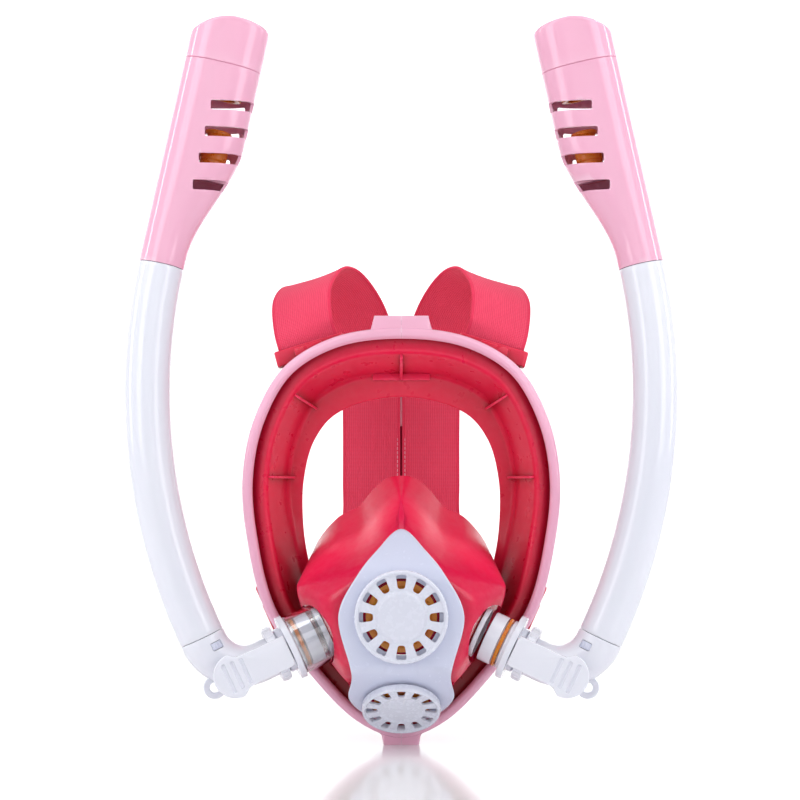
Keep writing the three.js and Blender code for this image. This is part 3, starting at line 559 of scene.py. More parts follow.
def silicone(name, base, deep, rough, under=0.22, shaded=True):
    """Soft satin silicone: light gathers below its skin, with a powdery bloom and a fine mould grain. When
    shaded, painted shade darkens it towards its deep colour in recesses.
    """
    look = Look(name, base, rough, {
        "Subsurface Weight": under, "Subsurface Radius": (1.0, 0.25, 0.3), "Subsurface Scale": 0.006,
        "Specular IOR Level": 0.5, "Sheen Weight": 0.03, "Sheen Roughness": 0.4,
    })
    cloud = look.mapped(look.noise(14, 2), 0, 0.16)
    bloom = look.mapped(look.noise(260, 4), 0, 0.04)
    colour = look.mixed(cloud, srgb(base), srgb(deep))
    colour = look.mixed(bloom, colour, srgb("#f7a0b4"))
    if shaded:
        # painted shade: darker towards the deep colour in recesses
        colour = look.mixed(look.hollow_shade(0.04, 1.0, 0.25, 0.92), colour, srgb(deep))
    look.feed("Base Color", colour)
    look.worn(140, 3, rough - 0.04, rough + 0.05)
    look.grain(1500, 3, 0.00002, 0.2)
    look.grain(60, 1, 0.00006, 0.12)
    return look.material


def clear(name):
    """Clear polished polycarbonate with the faintest wiped haze. Lamps shine through it."""
    look = Look(name, "#f7f9fc", 0.02, {
        "Transmission Weight": 1.0, "IOR": 1.56, "Coat Weight": 1.0, "Coat Roughness": 0.02, "Coat IOR": 1.9,
    })
    look.worn(60, 5, 0.008, 0.035)
    look.grain(38, 1, 0.00005, 0.25)
    see = look.node("ShaderNodeBsdfTransparent", {"Color": srgb("#f6f2f4")}).outputs[0]
    ray = look.node("ShaderNodeLightPath").outputs["Is Shadow Ray"]
    both = look.node("ShaderNodeMixShader", {0: ray, 1: look.shader.outputs[0], 2: see}).outputs[0]
    look.tree.links.new(both, look.tree.nodes["Material Output"].inputs["Surface"])
    return look.material


def elastic(name, base, valley_shade_and_tone, thread):
    """Woven elastic: lengthwise ribs, cross threads, bound edges and a little fuzz. Painted shade darkens the
    valleys between the ribs and the recesses round the band.
    """
    look = Look(name, base, 0.86, {"Sheen Weight": 0.12, "Sheen Roughness": 0.45, "Specular IOR Level": 0.2})
    weave = look.node("ShaderNodeAttribute", attribute_name="weave").outputs["Vector"]
    across, along, _ = look.node("ShaderNodeSeparateXYZ", {0: weave}).outputs
    wobble = look.sum("MULTIPLY", look.noise(900, 2), 0.5)
    rib = look.sum("SINE", look.sum("ADD", look.sum("MULTIPLY", across, 2 * math.pi / 1.1), wobble))
    knot = look.sum("SINE", look.sum("ADD", look.sum("MULTIPLY", along, 2 * math.pi / 0.8), wobble))
    ridge = look.mapped(rib, 0, 1, -1, 1)
    tick = look.mapped(knot, 0, 1, -1, 1)
    # painted shade in the valleys between the ribs
    colour = look.mixed(ridge, srgb(valley_shade_and_tone), srgb(base))
    colour = look.mixed(look.sum("MULTIPLY", tick, 0.28), colour, srgb(thread))
    colour = look.mixed(look.mapped(look.noise(45, 3), 0, 0.15), colour, srgb(valley_shade_and_tone))
    border = look.mapped(look.sum("ABSOLUTE", across), 0, 0.55, STRAP_WIDE / 2 - 1.9, STRAP_WIDE / 2 - 1.5)
    colour = look.mixed(border, colour, srgb(valley_shade_and_tone))
    # painted shade: recesses round the band darkened towards dark crimson
    look.feed("Base Color", look.mixed(look.hollow_shade(0.06, 0.85, 0.3, 0.85), colour, srgb("#8e0c2c")))
    look.feed("Roughness", look.mapped(tick, 0.78, 0.92, 0, 1))
    look.bump(look.sum("ADD", ridge, look.sum("MULTIPLY", tick, 0.45)), 0.00022, 0.8)
    look.grain(2600, 2, 0.00005, 0.5)
    return look.material


def amber(name):
    """Translucent amber silicone that glows at its thin edges."""
    look = Look(name, "#f08a2c", 0.3, {
        "Subsurface Weight": 0.45, "Subsurface Radius": (1.0, 0.4, 0.1), "Subsurface Scale": 0.006,
        "Transmission Weight": 0.15, "IOR": 1.41, "Coat Weight": 0.3, "Coat Roughness": 0.15,
    })
    cloud = look.mapped(look.noise(110, 4), 0, 0.7)
    look.feed("Base Color", look.mixed(cloud, srgb("#ff9a30"), srgb("#e46a14")))
    look.worn(300, 3, 0.24, 0.38)
    look.grain(700, 3, 0.00004, 0.5)
    return look.material


def steel(name):
    """Brushed stainless steel."""
    look = Look(name, "#c9cbcd", 0.28, {"Metallic": 1.0, "Anisotropic": 0.4})
    stretched = look.node("ShaderNodeMapping", {"Vector": look.place, "Scale": (1, 1, 0.05)}).outputs[0]
    brushed = look.noise(4000, 2, stretched)
    look.feed("Base Color", look.mixed(brushed, srgb("#b4b7ba"), srgb("#dfe1e3")))
    look.feed("Roughness", look.mapped(brushed, 0.2, 0.38))
    look.bump(brushed, 0.00001, 0.5)
    return look.material


# Each look is a material and the slot that it belongs to.
PINK = plastic("pink_moulding", "#f3b4cf", "#eca6c4", "#fbdcea", 0.16), "pink_gloss"
WHITE = plastic("white_moulding", "#e9ebf6", "#dcdff0", "#fbfbff", 0.17), "white_gloss"
COVER = plastic("cover_moulding", "#dfe2f0", "#d2d6ea", "#f7f8ff", 0.26), "cover_grey"
GREY = plastic("panel_moulding", "#cfd4ea", "#c0c6e0", "#f0f2ff", 0.24), "panel_grey"
# The skirt and the cup darken towards their deep colour in random patches and, as painted shade, in recesses.
SKIRT = silicone("skirt_silicone", "#ee0a48", "#960018", 0.3), "skirt_silicone"
# The ribs: a lighter copy of the skirt silicone, with painted light on the fins and without the painted shade
# in recesses.
RIB_LIT = silicone("lit_rib_silicone", "#f72c5e", "#e0124a", 0.3, shaded=False), "skirt_silicone"
CUP = silicone("cup_silicone", "#f41a50", "#b00030", 0.22), "cup_silicone"
CLEAR = clear("clear_polycarbonate"), "clear_lens"
# The elastic's second colour is the painted shade in its rib valleys, and also its darker tone and bound
# edges.
ELASTIC = elastic("coral_elastic", "#ff4e70", "#ee3058", "#ff8ea6"), "strap_elastic"
THREAD = plastic("stitch_thread", "#f79ab0", "#ee7f9a", "#ffc4d2", 0.6, 0, 0.1), "strap_elastic"
AMBER = amber("amber_silicone"), "amber_silicone"
STEEL = steel("brushed_steel"), "steel"

# ---------------- mask body


def edge_inset(up):
    high = LENS_SIDE + (LENS_TOP - LENS_SIDE) * up ** 2
    low = LENS_SIDE + (LENS_BOTTOM - LENS_SIDE) * np.clip(1.7 * up ** 2, 0, 1)
    return np.where(up > 0, high, low)


def between(a, b, part):
    return a + (b - a) * part


def lens_skin(wall, depth):
    """Rings from the flange out over the window's rounded edge, down to the bulge and under the panel."""
    corner = 2.0
    side = ring(inset(RIM, LENS_FOOT + wall), LENS_FLANGE_FRONT + wall)
    rings = []
    for a in np.linspace(0, math.pi / 2, 7):
        edge = inset(RIM, lambda up: edge_inset(up) + wall + corner * (1 - math.cos(a)))
        rings.append(ring(edge, lambda x, z: depth(x, z) + corner * (1 - math.sin(a))))
    rings = [between(side, rings[0], t) for t in (0, 0.35, 0.7)] + rings
    foot = inset(BULGE, wall)
    top = inset(PANEL, wall)
    rings += [ring(between(edge, foot, t), depth) for t in np.linspace(0.06, 1, 12)]
    rings += [ring(between(foot, top, t), depth) for t in np.linspace(0.1, 1, 9)]
    rings += [ring(shrunk(top, s, BULGE_CENTRE), depth) for s in (0.93, 0.86)]
    return rings


def make_lens():
    """The clear front: an edge that the rim clamps, the window, the bulge and a socket on each side."""
    flange = [ring(inset(RIM, FLANGE_EDGE), y) for y in (LENS_FLANGE_BACK, LENS_FLANGE_FRONT)]
    skin = flange + lens_skin(0, lens_depth) + lens_skin(LENS_WALL, inside_depth)[::-1]
    inner_flange = ring(inset(RIM, LENS_FOOT + LENS_WALL), LENS_FLANGE_BACK)
    shape = loft([*skin, inner_flange], loop=True)
    sockets, bores = [], []
    for _, sign in SIDES:
        place = mirror(sign) @ port_frame
        sockets.append(rod(SOCKET_OUTER, -20, -1.5, 96, 0.6).moved(place))
        bores.append(rod(SOCKET_INNER, -22, 0.5, 96).moved(place))
    shape = cut(cut(shape, *sockets, operation="UNION"), *bores)
    piece("window", shape, CLEAR, "mask", ["lens"], 30)


def make_frame():
    """The two halves of the rim: its rounded section along the outline, with a tab at the top and bottom."""
    rim = outline(RIM_HALF, 640)
    backs = [(0, FRAME_BACK), (0, -30.2), (0, -31), (0, -31.6), (0, -36), (0, -41.4), (0, -42.1), (0, -42.8)]
    front = rounded([
        (0, -42.8), (0.2, -44.2), (1.6, FRAME_FRONT), (4.4, FRAME_FRONT), (6, -43.4), (6, -41),
    ], 1.3, 5)[1:]
    section = [*backs, *front, (FRAME_WALL, -41), (FRAME_WALL, FRAME_BACK)]
    grid = []
    for amount, y in section:
        flat = inset(rim, amount)
        if amount < 0.3:
            for half, high in (TAB_TOP, TAB_BOTTOM):
                near = np.sign(flat[:, 1]) == np.sign(high)
                lift = smooth((half + 0.7 - np.abs(flat[:, 0])) / 1.4) * near
                lift *= smooth((-30.4 - y) / 1.1) * smooth((y + 43.4) / 1.1)
                flat[:, 1] += (high - flat[:, 1]) * lift
        grid.append(ring(flat, y))
    grid = np.array(grid).transpose(1, 0, 2)
    half = grid[: len(rim) // 2 + 1].copy()
    half[0, :, 0] = half[-1, :, 0] = 0.04
    shape = loft(half)
    on_both_sides("rim", shape, PINK, "mask", "frame", 42)


def skirt_rings():
    opening = outline(OPENING_HALF)
    front = LENS_FLANGE_BACK + 0.4
    return np.array([
        ring(inset(RIM, FLANGE_EDGE), front), ring(inset(RIM, 12.5), front),
        ring(inset(RIM, 14.5), front + 2.4), ring(inset(RIM, 24), -10), ring(inset(RIM, 26), -8),
        ring(opening, -5.4), ring(opening, -2.8),
        ring(inset(RIM, 24), 0), ring(inset(RIM, 20), -3),
        ring(inset(RIM, 11), -32), ring(inset(RIM, FLANGE_EDGE), -33),
    ])


def rounded_rings(rings, radius, steps=5, closed=True):
    """A stack of rings whose profile is rounded at every point round the outline."""
    each = [rounded(rings[:, i], radius, steps, closed) for i in range(rings.shape[1])]
    return np.array(each).transpose(1, 0, 2)


def skirt_rib(top, foot, size, bar=0.0):
    """A thin fin down the skirt's front wall between two points, with a cross bar at its foot."""
    way = foot - top
    long = way.length
    way.normalize()
    beside = way.cross(Vector((0, -1, 0))).normalized()
    turn = axes(beside, way.cross(beside), way, top)
    fins = soft_block((-size / 2, -3, 0), (size / 2, 1.4, long), 0.4)
    if bar:
        fins += soft_block((-bar / 2, -3, long - 1.6), (bar / 2, 1.2, long), 0.4)
    return fins.moved(turn)


def nearest(ring_points, x, z):
    """The point of a ring nearest to a place seen from the front."""
    return Vector(min(ring_points, key=lambda p: (p[0] - x) ** 2 + (p[2] - z) ** 2))


def make_skirt():
    rings = skirt_rings()
    shape = loft(rounded_rings(rings, 1.7), loop=True)
    piece("skirt", shape, SKIRT, "mask", ["face_skirt"], 50)
    ribs = skirt_rib(Vector(rings[2][0]), Vector(rings[4][0]), 1.6, 32.0)
    for _, sign in SIDES:
        for (x, z), (foot_x, foot_z) in (((60.2, 75.4), (45.5, 64.5)), ((73, 27.4), (60, 27.4))):
            top, foot = nearest(rings[2], sign * x, z), nearest(rings[4], sign * foot_x, foot_z)
            ribs += skirt_rib(top, foot, 1.3)
    piece("skirt_ribs", ribs, RIB_LIT, "mask", (), 50)


def cup_rings(wall):
    edge = inset(outline(CUP_HALF), wall)
    foot = inset(BULGE, 7 + wall)
    top = inset(PANEL, 8 + wall)

    def depth(x, z):
        return inside_depth(x, z) + 6 + wall

    rings = [
        ring(edge, -10), ring(between(edge, foot, 0.45), -32), ring(foot, lambda x, z: depth(x, z) + 2),
        ring(between(foot, top, 0.5), depth), ring(top, depth), ring(shrunk(top, 0.4, BULGE_CENTRE), depth),
    ]
    return np.array(rings)


def make_cup():
    """The nose cup: one soft skin out from the face and back along its inside."""
    outer = cup_rings(0)
    inner = cup_rings(2)
    inner[0, :, 1] += 0.5
    outer, inner = (rounded_rings(rings, 7, 6, False) for rings in (outer, inner))
    shape = loft([*outer, *inner[::-1]], caps=False)
    lip = loft([inner[0], between(inner[0], outer[0], 0.5) + [0, 1.0, 0], outer[0]], caps=False)
    shape = shape + lip
    holes = []
    for _, sign in SIDES:
        holes.append(rod(SOCKET_OUTER + 0.8, -34, 0, 64).moved(mirror(sign) @ port_frame))
    piece("cup", cut(shape, *holes), CUP, "mask", ["nose_cup"], 50)


def make_panel():
    """The centre panel: a shell in front of the lens with a soft rim and two round holes."""
    lift = PANEL_LIFT + PANEL_WALL

    def face(scale, rise):
        return ring(shrunk(PANEL, scale, BULGE_CENTRE), lambda x, z: lens_depth(x, z) - rise)

    front = [face(s, lift) for s in np.linspace(0.08, 0.97, 16)]
    edge = []
    for a in np.linspace(0, math.pi / 2, 6)[1:]:
        edge.append(face(0.97 + 0.03 * math.sin(a), lift - 1.4 * (1 - math.cos(a))))
    back = [face(s, PANEL_LIFT) for s in (1, 0.9, 0.5, 0.08)]
    shape = loft([*front, *edge, *back])
    holes = []
    for valve in (MAIN_VALVE, DRAIN_VALVE):
        holes.append(rod(valve[2] - PANEL_INSET, -9, 9, 96).moved(valve_frame(valve)))
    piece("panel", cut(shape, *holes), GREY, "mask", ["front_panel"], 36)


# ---------------- exhale valves


def wedge_slot(radius):
    """The rounded outline of a slot, narrow towards the middle."""
    inner, outer = 0.6 * radius, 0.9 * radius
    corners = [(-0.075, inner), (0.075, inner), (0.118, outer), (-0.118, outer)]
    return rounded([(x * radius, y) for x, y in corners], 1.5, 5, closed=True)


def make_valve(name, valve, middle):
    """A breathing-out valve: slotted cover with its middle at a height, soft disc and spoked seat."""
    place = valve_frame(valve)
    radius = valve[2]
    shell = turned([
        (0, middle), (0.50 * radius, middle), (0.56 * radius, 6.4), (0.9 * radius, 6.4),
        (0.93 * radius, 7.5), (0.975 * radius, 7.5), (radius, 6.3), (radius, 3.2), (radius - 2.4, 3.2),
        (radius - 2.4, 4.9), (0, 4.9),
    ], 144, 0.7)
    shell = softened(cut(shell, around(slab(wedge_slot(radius), 2, 11), SLOTS)), 0.32, 2, 50)
    piece(name + "_cap", shell.moved(place), COVER, "mask", [name + "_cover"], 34)
    edge = radius - DISC_INSET
    disc = turned([
        (0, 3.6), (1.6, 3.6), (2.5, 3.1), (edge - 3, 2.95), (edge - 2, 3.25), (edge, 3.1), (edge + 0.4, 2.8),
        (edge, 2.4), (0, 2.4),
    ], 96, 0.25)
    body = name.split("_")[0] + "_diaphragm"
    piece(name + "_disc", disc.moved(place), AMBER, body, [name + "_diaphragm"])
    rim = radius - SEAT_INSET
    seat = collar(rim - 2.6, rim, -1.9, 2, 96, 0.4) + rod(3, 0.4, -1.9, 40, 0.3)
    seat = seat + around(soft_block((-0.8, 2, -1.9), (0.8, rim - 1.5, 0.2), 0.25), 4)
    piece(name + "_grid", seat.moved(place), CUP, "mask", [name + "_seat"])


# ---------------- elbow, lever and tube


def arc_rings(start, bend, angles, radius, sides=ROUND):
    """Circles along an arc in the XZ plane that starts up Z at x = 0 and turns towards X."""
    round_it = circle(sides)
    rings = []
    for a in angles:
        middle = np.array([bend * (1 - math.cos(a)), 0, start + bend * math.sin(a)])
        across = np.array([math.cos(a), 0, -math.sin(a)])
        rings.append(middle + radius * (
            np.outer(np.cos(round_it), across) + np.outer(np.sin(round_it), [0, 1, 0])
        ))
    return rings


def collar_ring(radius, height, place, sides=96):
    """One circle round Z at a height, moved by a matrix, as a list with one ring."""
    return [[place @ Vector((radius * math.cos(a), radius * math.sin(a), height)) for a in circle(sides)]]


def make_elbow():
    """The elbow: a spigot with a flange, a widening bend, an eyelet, and a window with its latch."""
    end = CORNER - ELBOW_RADIUS
    on_port = turned_ring([
        (BORE, -14), (SPIGOT, -14), (SPIGOT, -6.6), (11.6, -6.6), (11.6, -3.2), (SPIGOT, -3.2),
        (SPIGOT, -1), (18.1, -1), (18.1, 2.5), (12.6, 2.5), (12.6, 5.6), (STUB, 6.4),
        (STUB, end + 0.4), (BORE, end + 0.4),
    ], 96, 0.5)
    angles = np.linspace(0, math.pi / 2, 41)
    outside, inside = [], []
    for i, angle in enumerate(angles):
        wide = STUB + (ELBOW_WIDE - STUB) * float(smooth(i / 40))
        outside += arc_rings(end, ELBOW_RADIUS, [angle], wide, 96)
        inside += arc_rings(end, ELBOW_RADIUS, [angle], BORE + 0.3 * i / 40, 96)
    local = port_frame.inverted() @ tube_frame
    for height, outer in ((24.9, ELBOW_WIDE), (25.2, ELBOW_WIDE - 0.1), (25.3, ELBOW_WIDE - 0.4)):
        outside += collar_ring(outer, height, local)
        inside += collar_ring(FOOT_SOCKET, height, local)
    bend = loft([*outside, *inside[::-1]], loop=True)
    c, d = math.cos(LATCH_TURN), math.sin(LATCH_TURN)
    latch = axes((-c, d, 0), (0, 0, 1), (d, c, 0), (0, 0, LATCH_HIGH))
    window = slab(rounded_box((-3.3, -2.3), (3.3, 2.3), 0.8), 8, 16)
    bend = softened(cut(bend, window.moved(local @ latch)), 0.25, 2, 50)
    lug = soft_block((-3, 9.4, LUG_LOW), (3, 15.2, LUG_HIGH), 0.5)
    eyelet = collar(2.7, 6.2, -1.5, 1.5, 64, 0.7)
    eyelet = eyelet.moved(axes((1, 0, 0), (0, 0, -1), (0, 1, 0), (-2, 0, EYELET_OUT)))
    shape = on_port + bend + lug + eyelet
    on_both_sides("corner", shape.moved(port_frame), WHITE, "snorkel", "elbow", 34)
    tongue = slab(rounded_box((-3, -2), (3, 2), 0.6), 9.6, 12.1)
    for rib in (-1.8, 0, 1.8):
        tongue = tongue + soft_block((rib - 0.3, -1.4, 11.9), (rib + 0.3, 1.4, 12.3), 0.15)
    tongue = softened(tongue, 0.3).moved(tube_frame @ latch)
    on_both_sides("latch_tongue", tongue, GREY, "latch", "tube_latch")


def make_collar():
    """The swivel's lock collar, knurled round its edge."""
    knurls = around(soft_block((14.6, -0.7, 7.7), (15.5, 0.7, 11.3), 0.3), 24)
    shape = collar(11.6, 15.2, 6.8, 12.2, 96, 0.8) + knurls
    on_both_sides("swivel_collar", shape.moved(port_frame), WHITE, "snorkel", "lock_collar")


def ring_seal(major, minor, height, flash):
    """An O-ring with the thin line that its mould leaves round the outside."""
    line = [(major + minor * math.cos(a), height + minor * math.sin(a)) for a in circle(24)]
    line[0] = (line[0][0] + flash, height)
    return loft(spun(line, 96), loop=True)


def make_seals():
    seal = ring_seal(12.95, 1.05, -4.9, 0.05).moved(port_frame)
    on_both_sides("port_seal", seal, AMBER, "snorkel", "port_o_ring", 60)
    seal = ring_seal(8.25, 0.75, 15.4, 0.04).moved(tube_frame)
    on_both_sides("tube_seal", seal, AMBER, "snorkel", "tube_o_ring", 60)


def make_lever():
    """The lock lever: a hooked bar that flares into a round paddle with three finger grooves."""
    half, near, paddle, far = 8.6, 3.2, 12, 46
    neck = far - paddle * 1.6
    flare = [(half, neck), (half + 0.4, neck + 4), (paddle - 0.6, neck + 7)]
    tip = [
        (paddle * math.cos(a), far - paddle + 1 + paddle * math.sin(a)) for a in np.linspace(0, math.pi, 33)
    ]
    foot = [(-half, near + 1.6), (-half + 1.6, near), (half - 1.6, near), (half, near + 1.6)]
    edge = [*foot, *flare, *tip, *[(-x, y) for x, y in reversed(flare)]]
    place = axes((-1, 0, 0), (0, 0, 1), (0, 1, 0), (0, 16, 0))
    plate = slab(edge, 0, 2.6)
    grooves = []
    for i in range(3):
        along = far - 7 - i * 5
        wide = 8.2 - 0.5 * i
        grooves.append(slab(rounded_box((-wide, along - 1.0), (wide, along + 1.0), 0.9), 1.5, 4))
    shape = softened(cut(plate, *grooves), 0.55, 3, 45).moved(place)
    shape = shape + soft_block((-half, 13.2, near), (half, 17, near + 2.4), 0.6, 3)
    for side in (-1, 1):
        low, high = sorted((side * 5.9, side * 8.4))
        shape = shape + soft_block((low, 11.4, LUG_LOW), (high, 17, LUG_HIGH), 0.6, 3)
    on_both_sides("lever", shape.moved(port_frame), WHITE, "lever", "lock_lever", 34)
    pin_place = port_frame @ axes((0, 0, -1), (0, 1, 0), (1, 0, 0), (0, PIN_HIGH, PIN_OUT))
    pin = rod(1.2, -8, 8, 32, 0.35).moved(pin_place)
    on_both_sides("pivot_pin", pin, STEEL, "snorkel", "lever_pin")
    wound, wire = 3 * 2 * math.pi, 0.28
    rings = []
    for a in np.linspace(0, wound, 73):
        middle = np.array([1.8 * math.cos(a), 1.8 * math.sin(a), 3.7 + 1.5 * a / wound])
        out = np.array([math.cos(a), math.sin(a), 0])
        section = np.outer(np.cos(circle(8)), out) + np.outer(np.sin(circle(8)), [0, 0, 1])
        rings.append(middle + wire * section)
    on_both_sides("pivot_spring", loft(rings).moved(pin_place), STEEL, "snorkel", "lever_spring")


def make_tube():
    """The curved tube, with a foot that goes into the elbow and a neck that goes into the head."""
    bends = np.linspace(0, TUBE_TURN, 65)
    outside, inside = (arc_rings(TUBE_START, TUBE_BEND, bends, r) for r in (TUBE_OUTER, TUBE_BORE))
    wall = softened(loft([*outside, *inside[::-1]], loop=True), 0.35, 2, 60)
    foot = turned_ring([
        (6.8, 13.8), (9, 13.8), (9, 14.6), (7.3, 14.6), (7.3, 16.2), (9, 16.2),
        (9, 26.2), (11.5, 26.2), (11.5, 28), (6.8, 27),
    ], 72, 0.15)
    neck = collar(8.6, 10.2, -2, 8, 72, 0.3).moved(tube_frame.inverted() @ head_frame)
    shape = (wall + foot + neck).moved(tube_frame)
    on_both_sides("air_tube", shape, WHITE, "snorkel", "tube", 50)


# ---------------- snorkel head


def head_width(s):
    return 2 * TUBE_OUTER + (HEAD_WIDE - 2 * TUBE_OUTER) * float(smooth((s - 6) / 68))


def head_ring(s, wall, height=None, scale=1.0, sides=96):
    """A ring of the head's rounded section, at a height that may change across the head."""
    rise = float(smooth((s - 6) / 68))
    half = head_width(s) / 2 - wall
    deep = TUBE_OUTER + (HEAD_DEEP - TUBE_OUTER) * rise - wall
    power = 2 / (2 + 0.5 * rise)
    c, d = np.cos(circle(sides)), np.sin(circle(sides))
    x = half + wall - TUBE_OUTER + scale * half * np.sign(c) * np.abs(c) ** power
    y = scale * deep * np.sign(d) * np.abs(d) ** power
    return np.column_stack([x, y, np.full(sides, s) if height is None else height(x)])


def head_stack(wall, low, high):
    return [head_ring(s, wall) for s in np.linspace(low, high, 34)]


def head_slot(s, long, low, high):
    """A slot level with the ground, cut between two depths."""
    half = SLOT_HIGH / 2
    shape = slab(rounded_box((0, -half), (long, half), 1.1, 5), low, high)
    turn = Matrix.Rotation(-WORLD_LEAN, 4, "Y")
    place = Matrix.Translation((SLOT_START, 0, s))
    return shape.moved(place @ turn @ Matrix.Rotation(math.pi / 2, 4, "X"))


def make_head():
    """The slotted head, with the walls inside it that lead the air past the float."""
    outside = head_stack(0, GAP, HEAD_HIGH)
    inside = head_stack(HEAD_WALL, GAP, HEAD_HIGH)
    shell = loft([*outside, *inside[::-1]], loop=True)
    slots = []
    for i in range(4):
        s = SLOT_LOW + SLOT_PITCH * i
        slots.append(head_slot(s, 40, -SLOT_FAR, -SLOT_APART))
        if i > 0:
            long = head_width(s) - TUBE_OUTER - SLOT_START - SLOT_MARGIN
            slots.append(head_slot(s, long, SLOT_APART, SLOT_FAR))
    shell = softened(cut(shell, joined(slots)), 0.4, 3, 48)
    space = loft(head_stack(0.9, 1, HEAD_HIGH - 1))
    partition = block((4, -20, 32), (5.6, 20, HEAD_HIGH - 2))
    floor = block((0, -20, -0.8), (40, 20, 0.8))
    floor = floor.moved(Matrix.Translation((4.2, 0, 31)) @ Matrix.Rotation(-0.35, 4, "Y"))
    hole = rod(5.6, 90, 110, 48).moved(float_place)
    plate = cut(block((5, -20, SEAT_LOW), (40, 20, SEAT_HIGH)), hole)
    shelf = block((5, -3, 51), (40, 3, 53))
    for wall in (partition, floor, plate, shelf):
        shell = shell + cut(wall, space, operation="INTERSECT")
    on_both_sides("dry_top", shell.moved(head_frame), PINK, "snorkel", "snorkel_head", 36)


def cap_rise(x):
    """Height of the cap above the head: highest over its peak, lower towards either edge."""
    peak, high, outer_drop, inner_drop = 11, 26.6, 10.5, 2.6
    low = high - outer_drop * (np.clip(peak - x, 0, None) / (peak + TUBE_OUTER)) ** 2
    return low - inner_drop * (np.clip(x - peak, 0, None) / (HEAD_WIDE - TUBE_OUTER - peak)) ** 2


def make_cap():
    """The head's cap: straight sides that round over into a dome, high over the float."""
    bend = [(1 - 0.1 * (1 - math.sin(a)), 1 - 0.1 * (1 - math.cos(a))) for a in np.linspace(0, 1.5, 9)]
    outer = []
    for part, scale in [(0, 1), (0.3, 1), (0.7, 1), *bend, (1, 0.82), (1, 0.5), (1, 0.2)]:
        outer.append(head_ring(
            HEAD_HIGH, 0, lambda x: HEAD_HIGH + GAP + part * (cap_rise(x) - GAP), scale,
        ))
    lip = head_ring(HEAD_HIGH, 0.35)
    lip[:, 2] = HEAD_HIGH + 0.35
    outer[0][:, 2] = HEAD_HIGH + 0.75
    below = head_ring(HEAD_HIGH, 2)
    shape = loft([below, lip, *outer])
    on_both_sides("dry_cap", shape.moved(head_frame), PINK, "snorkel", "head_cap", 40)


def make_float():
    """The float that shuts the air way when the head goes under, with two grooves, and its seat."""
    r = FLOAT_RADIUS
    shape = turned([
        (0, 54.8), (2.5, 54.2), (r - 2, 54.2), (r, 56.5), (r, 60), (r - 0.6, 60.6), (r - 0.6, 62.2),
        (r, 62.8), (r, 72), (r - 1.6, 73), (r - 1.6, 76), (r, 77), (r, 78.2), (r - 1, 79), (0, 79),
    ], 72, 0.5).moved(float_place)
    on_both_sides("dry_float", shape.moved(head_frame), AMBER, "dry_float", "float", 40)
    seat = collar(5, 8.2, 96.8, 99.5, 64, 0.7).moved(float_place)
    on_both_sides("dry_seat", seat.moved(head_frame), AMBER, "snorkel", "float_seat", 40)


# ---------------- straps

STRAP_STOPS = [  # where a strap's middle runs, and the lean of its width from level in degrees
    (51, -12, 99, -30), (55, -9, 113, -27), (56, 0, 130, -21), (50, 18, 140, -17), (38, 38, 137, -22),
    (25, 56, 119, -20), (18.2, 68, 92, -6), (17.6, 73, 60, 0), (17.6, 74, 24, 0), (18, 74, 0, 2),
    (24, 73, -22, 30), (40, 64, -38, 54), (59, 40, -46, 64), (70, 12, -49, 66), (71, -6, -50, 66),
]


def strap_axes(part):
    """X across the band, Y out of its face and Z along it, part of the way along its route."""
    last = len(STRAP_STOPS) - 1
    stop = min(int(part * last), last - 1)
    mix = part * last - stop
    lean = math.radians(STRAP_STOPS[stop][3] * (1 - mix) + STRAP_STOPS[stop + 1][3] * mix)
    places, ways = spline([s[:3] for s in STRAP_STOPS], False, [part])
    along = Vector(ways[0]).normalized()
    face = along.cross(Vector((math.cos(lean), 0, math.sin(lean)))).normalized()
    across = face.cross(along).normalized()
    return axes(across, face, across.cross(face), places[0])


def band_section(half, thick):
    """Half the width across, with the bound edges a little proud of the ribbed middle."""
    xs = np.concatenate([[-half], np.linspace(-half + 0.25, half - 0.25, 31), [half]])
    bound = 0.16 * (np.abs(xs) > half - 1.7)
    high = thick / 2 - 0.16 + bound
    high[0] = high[-1] = thick / 4
    return [(x, h) for x, h in zip(xs, high)] + [(x, -h) for x, h in zip(xs[::-1], high[::-1])]


def make_strap():
    section = band_section(STRAP_WIDE / 2, STRAP_THICK)
    steps = 150
    rings, weave, travelled = [], [], 0.0
    before = strap_axes(0).translation
    for part in np.linspace(0, 1, steps + 1):
        place = strap_axes(part)
        here = place.translation
        travelled += (here - before).length
        before = here.copy()
        rings.append([place @ Vector((x, y, 0)) for x, y in section])
        weave += [(x, travelled, y) for x, y in section]
    shape = loft(rings)
    shape.weave = weave
    on_both_sides("band", shape, ELASTIC, "mask", "strap", 60)


def thread(start, end, radius):
    """One stitch: a short length of thread that narrows at both ends."""
    start, end = Vector(start), Vector(end)
    along = (end - start).normalized()
    side = along.cross(Vector((0, 1, 0))).normalized()
    up = side.cross(along)
    rings = []
    for t, size in ((0, 0.45), (0.15, 0.9), (0.5, 1.0), (0.85, 0.9), (1, 0.45)):
        middle = start.lerp(end, t)
        rings.append([middle + (side * math.cos(a) + up * math.sin(a)) * radius * size for a in circle(6)])
    return loft(rings)


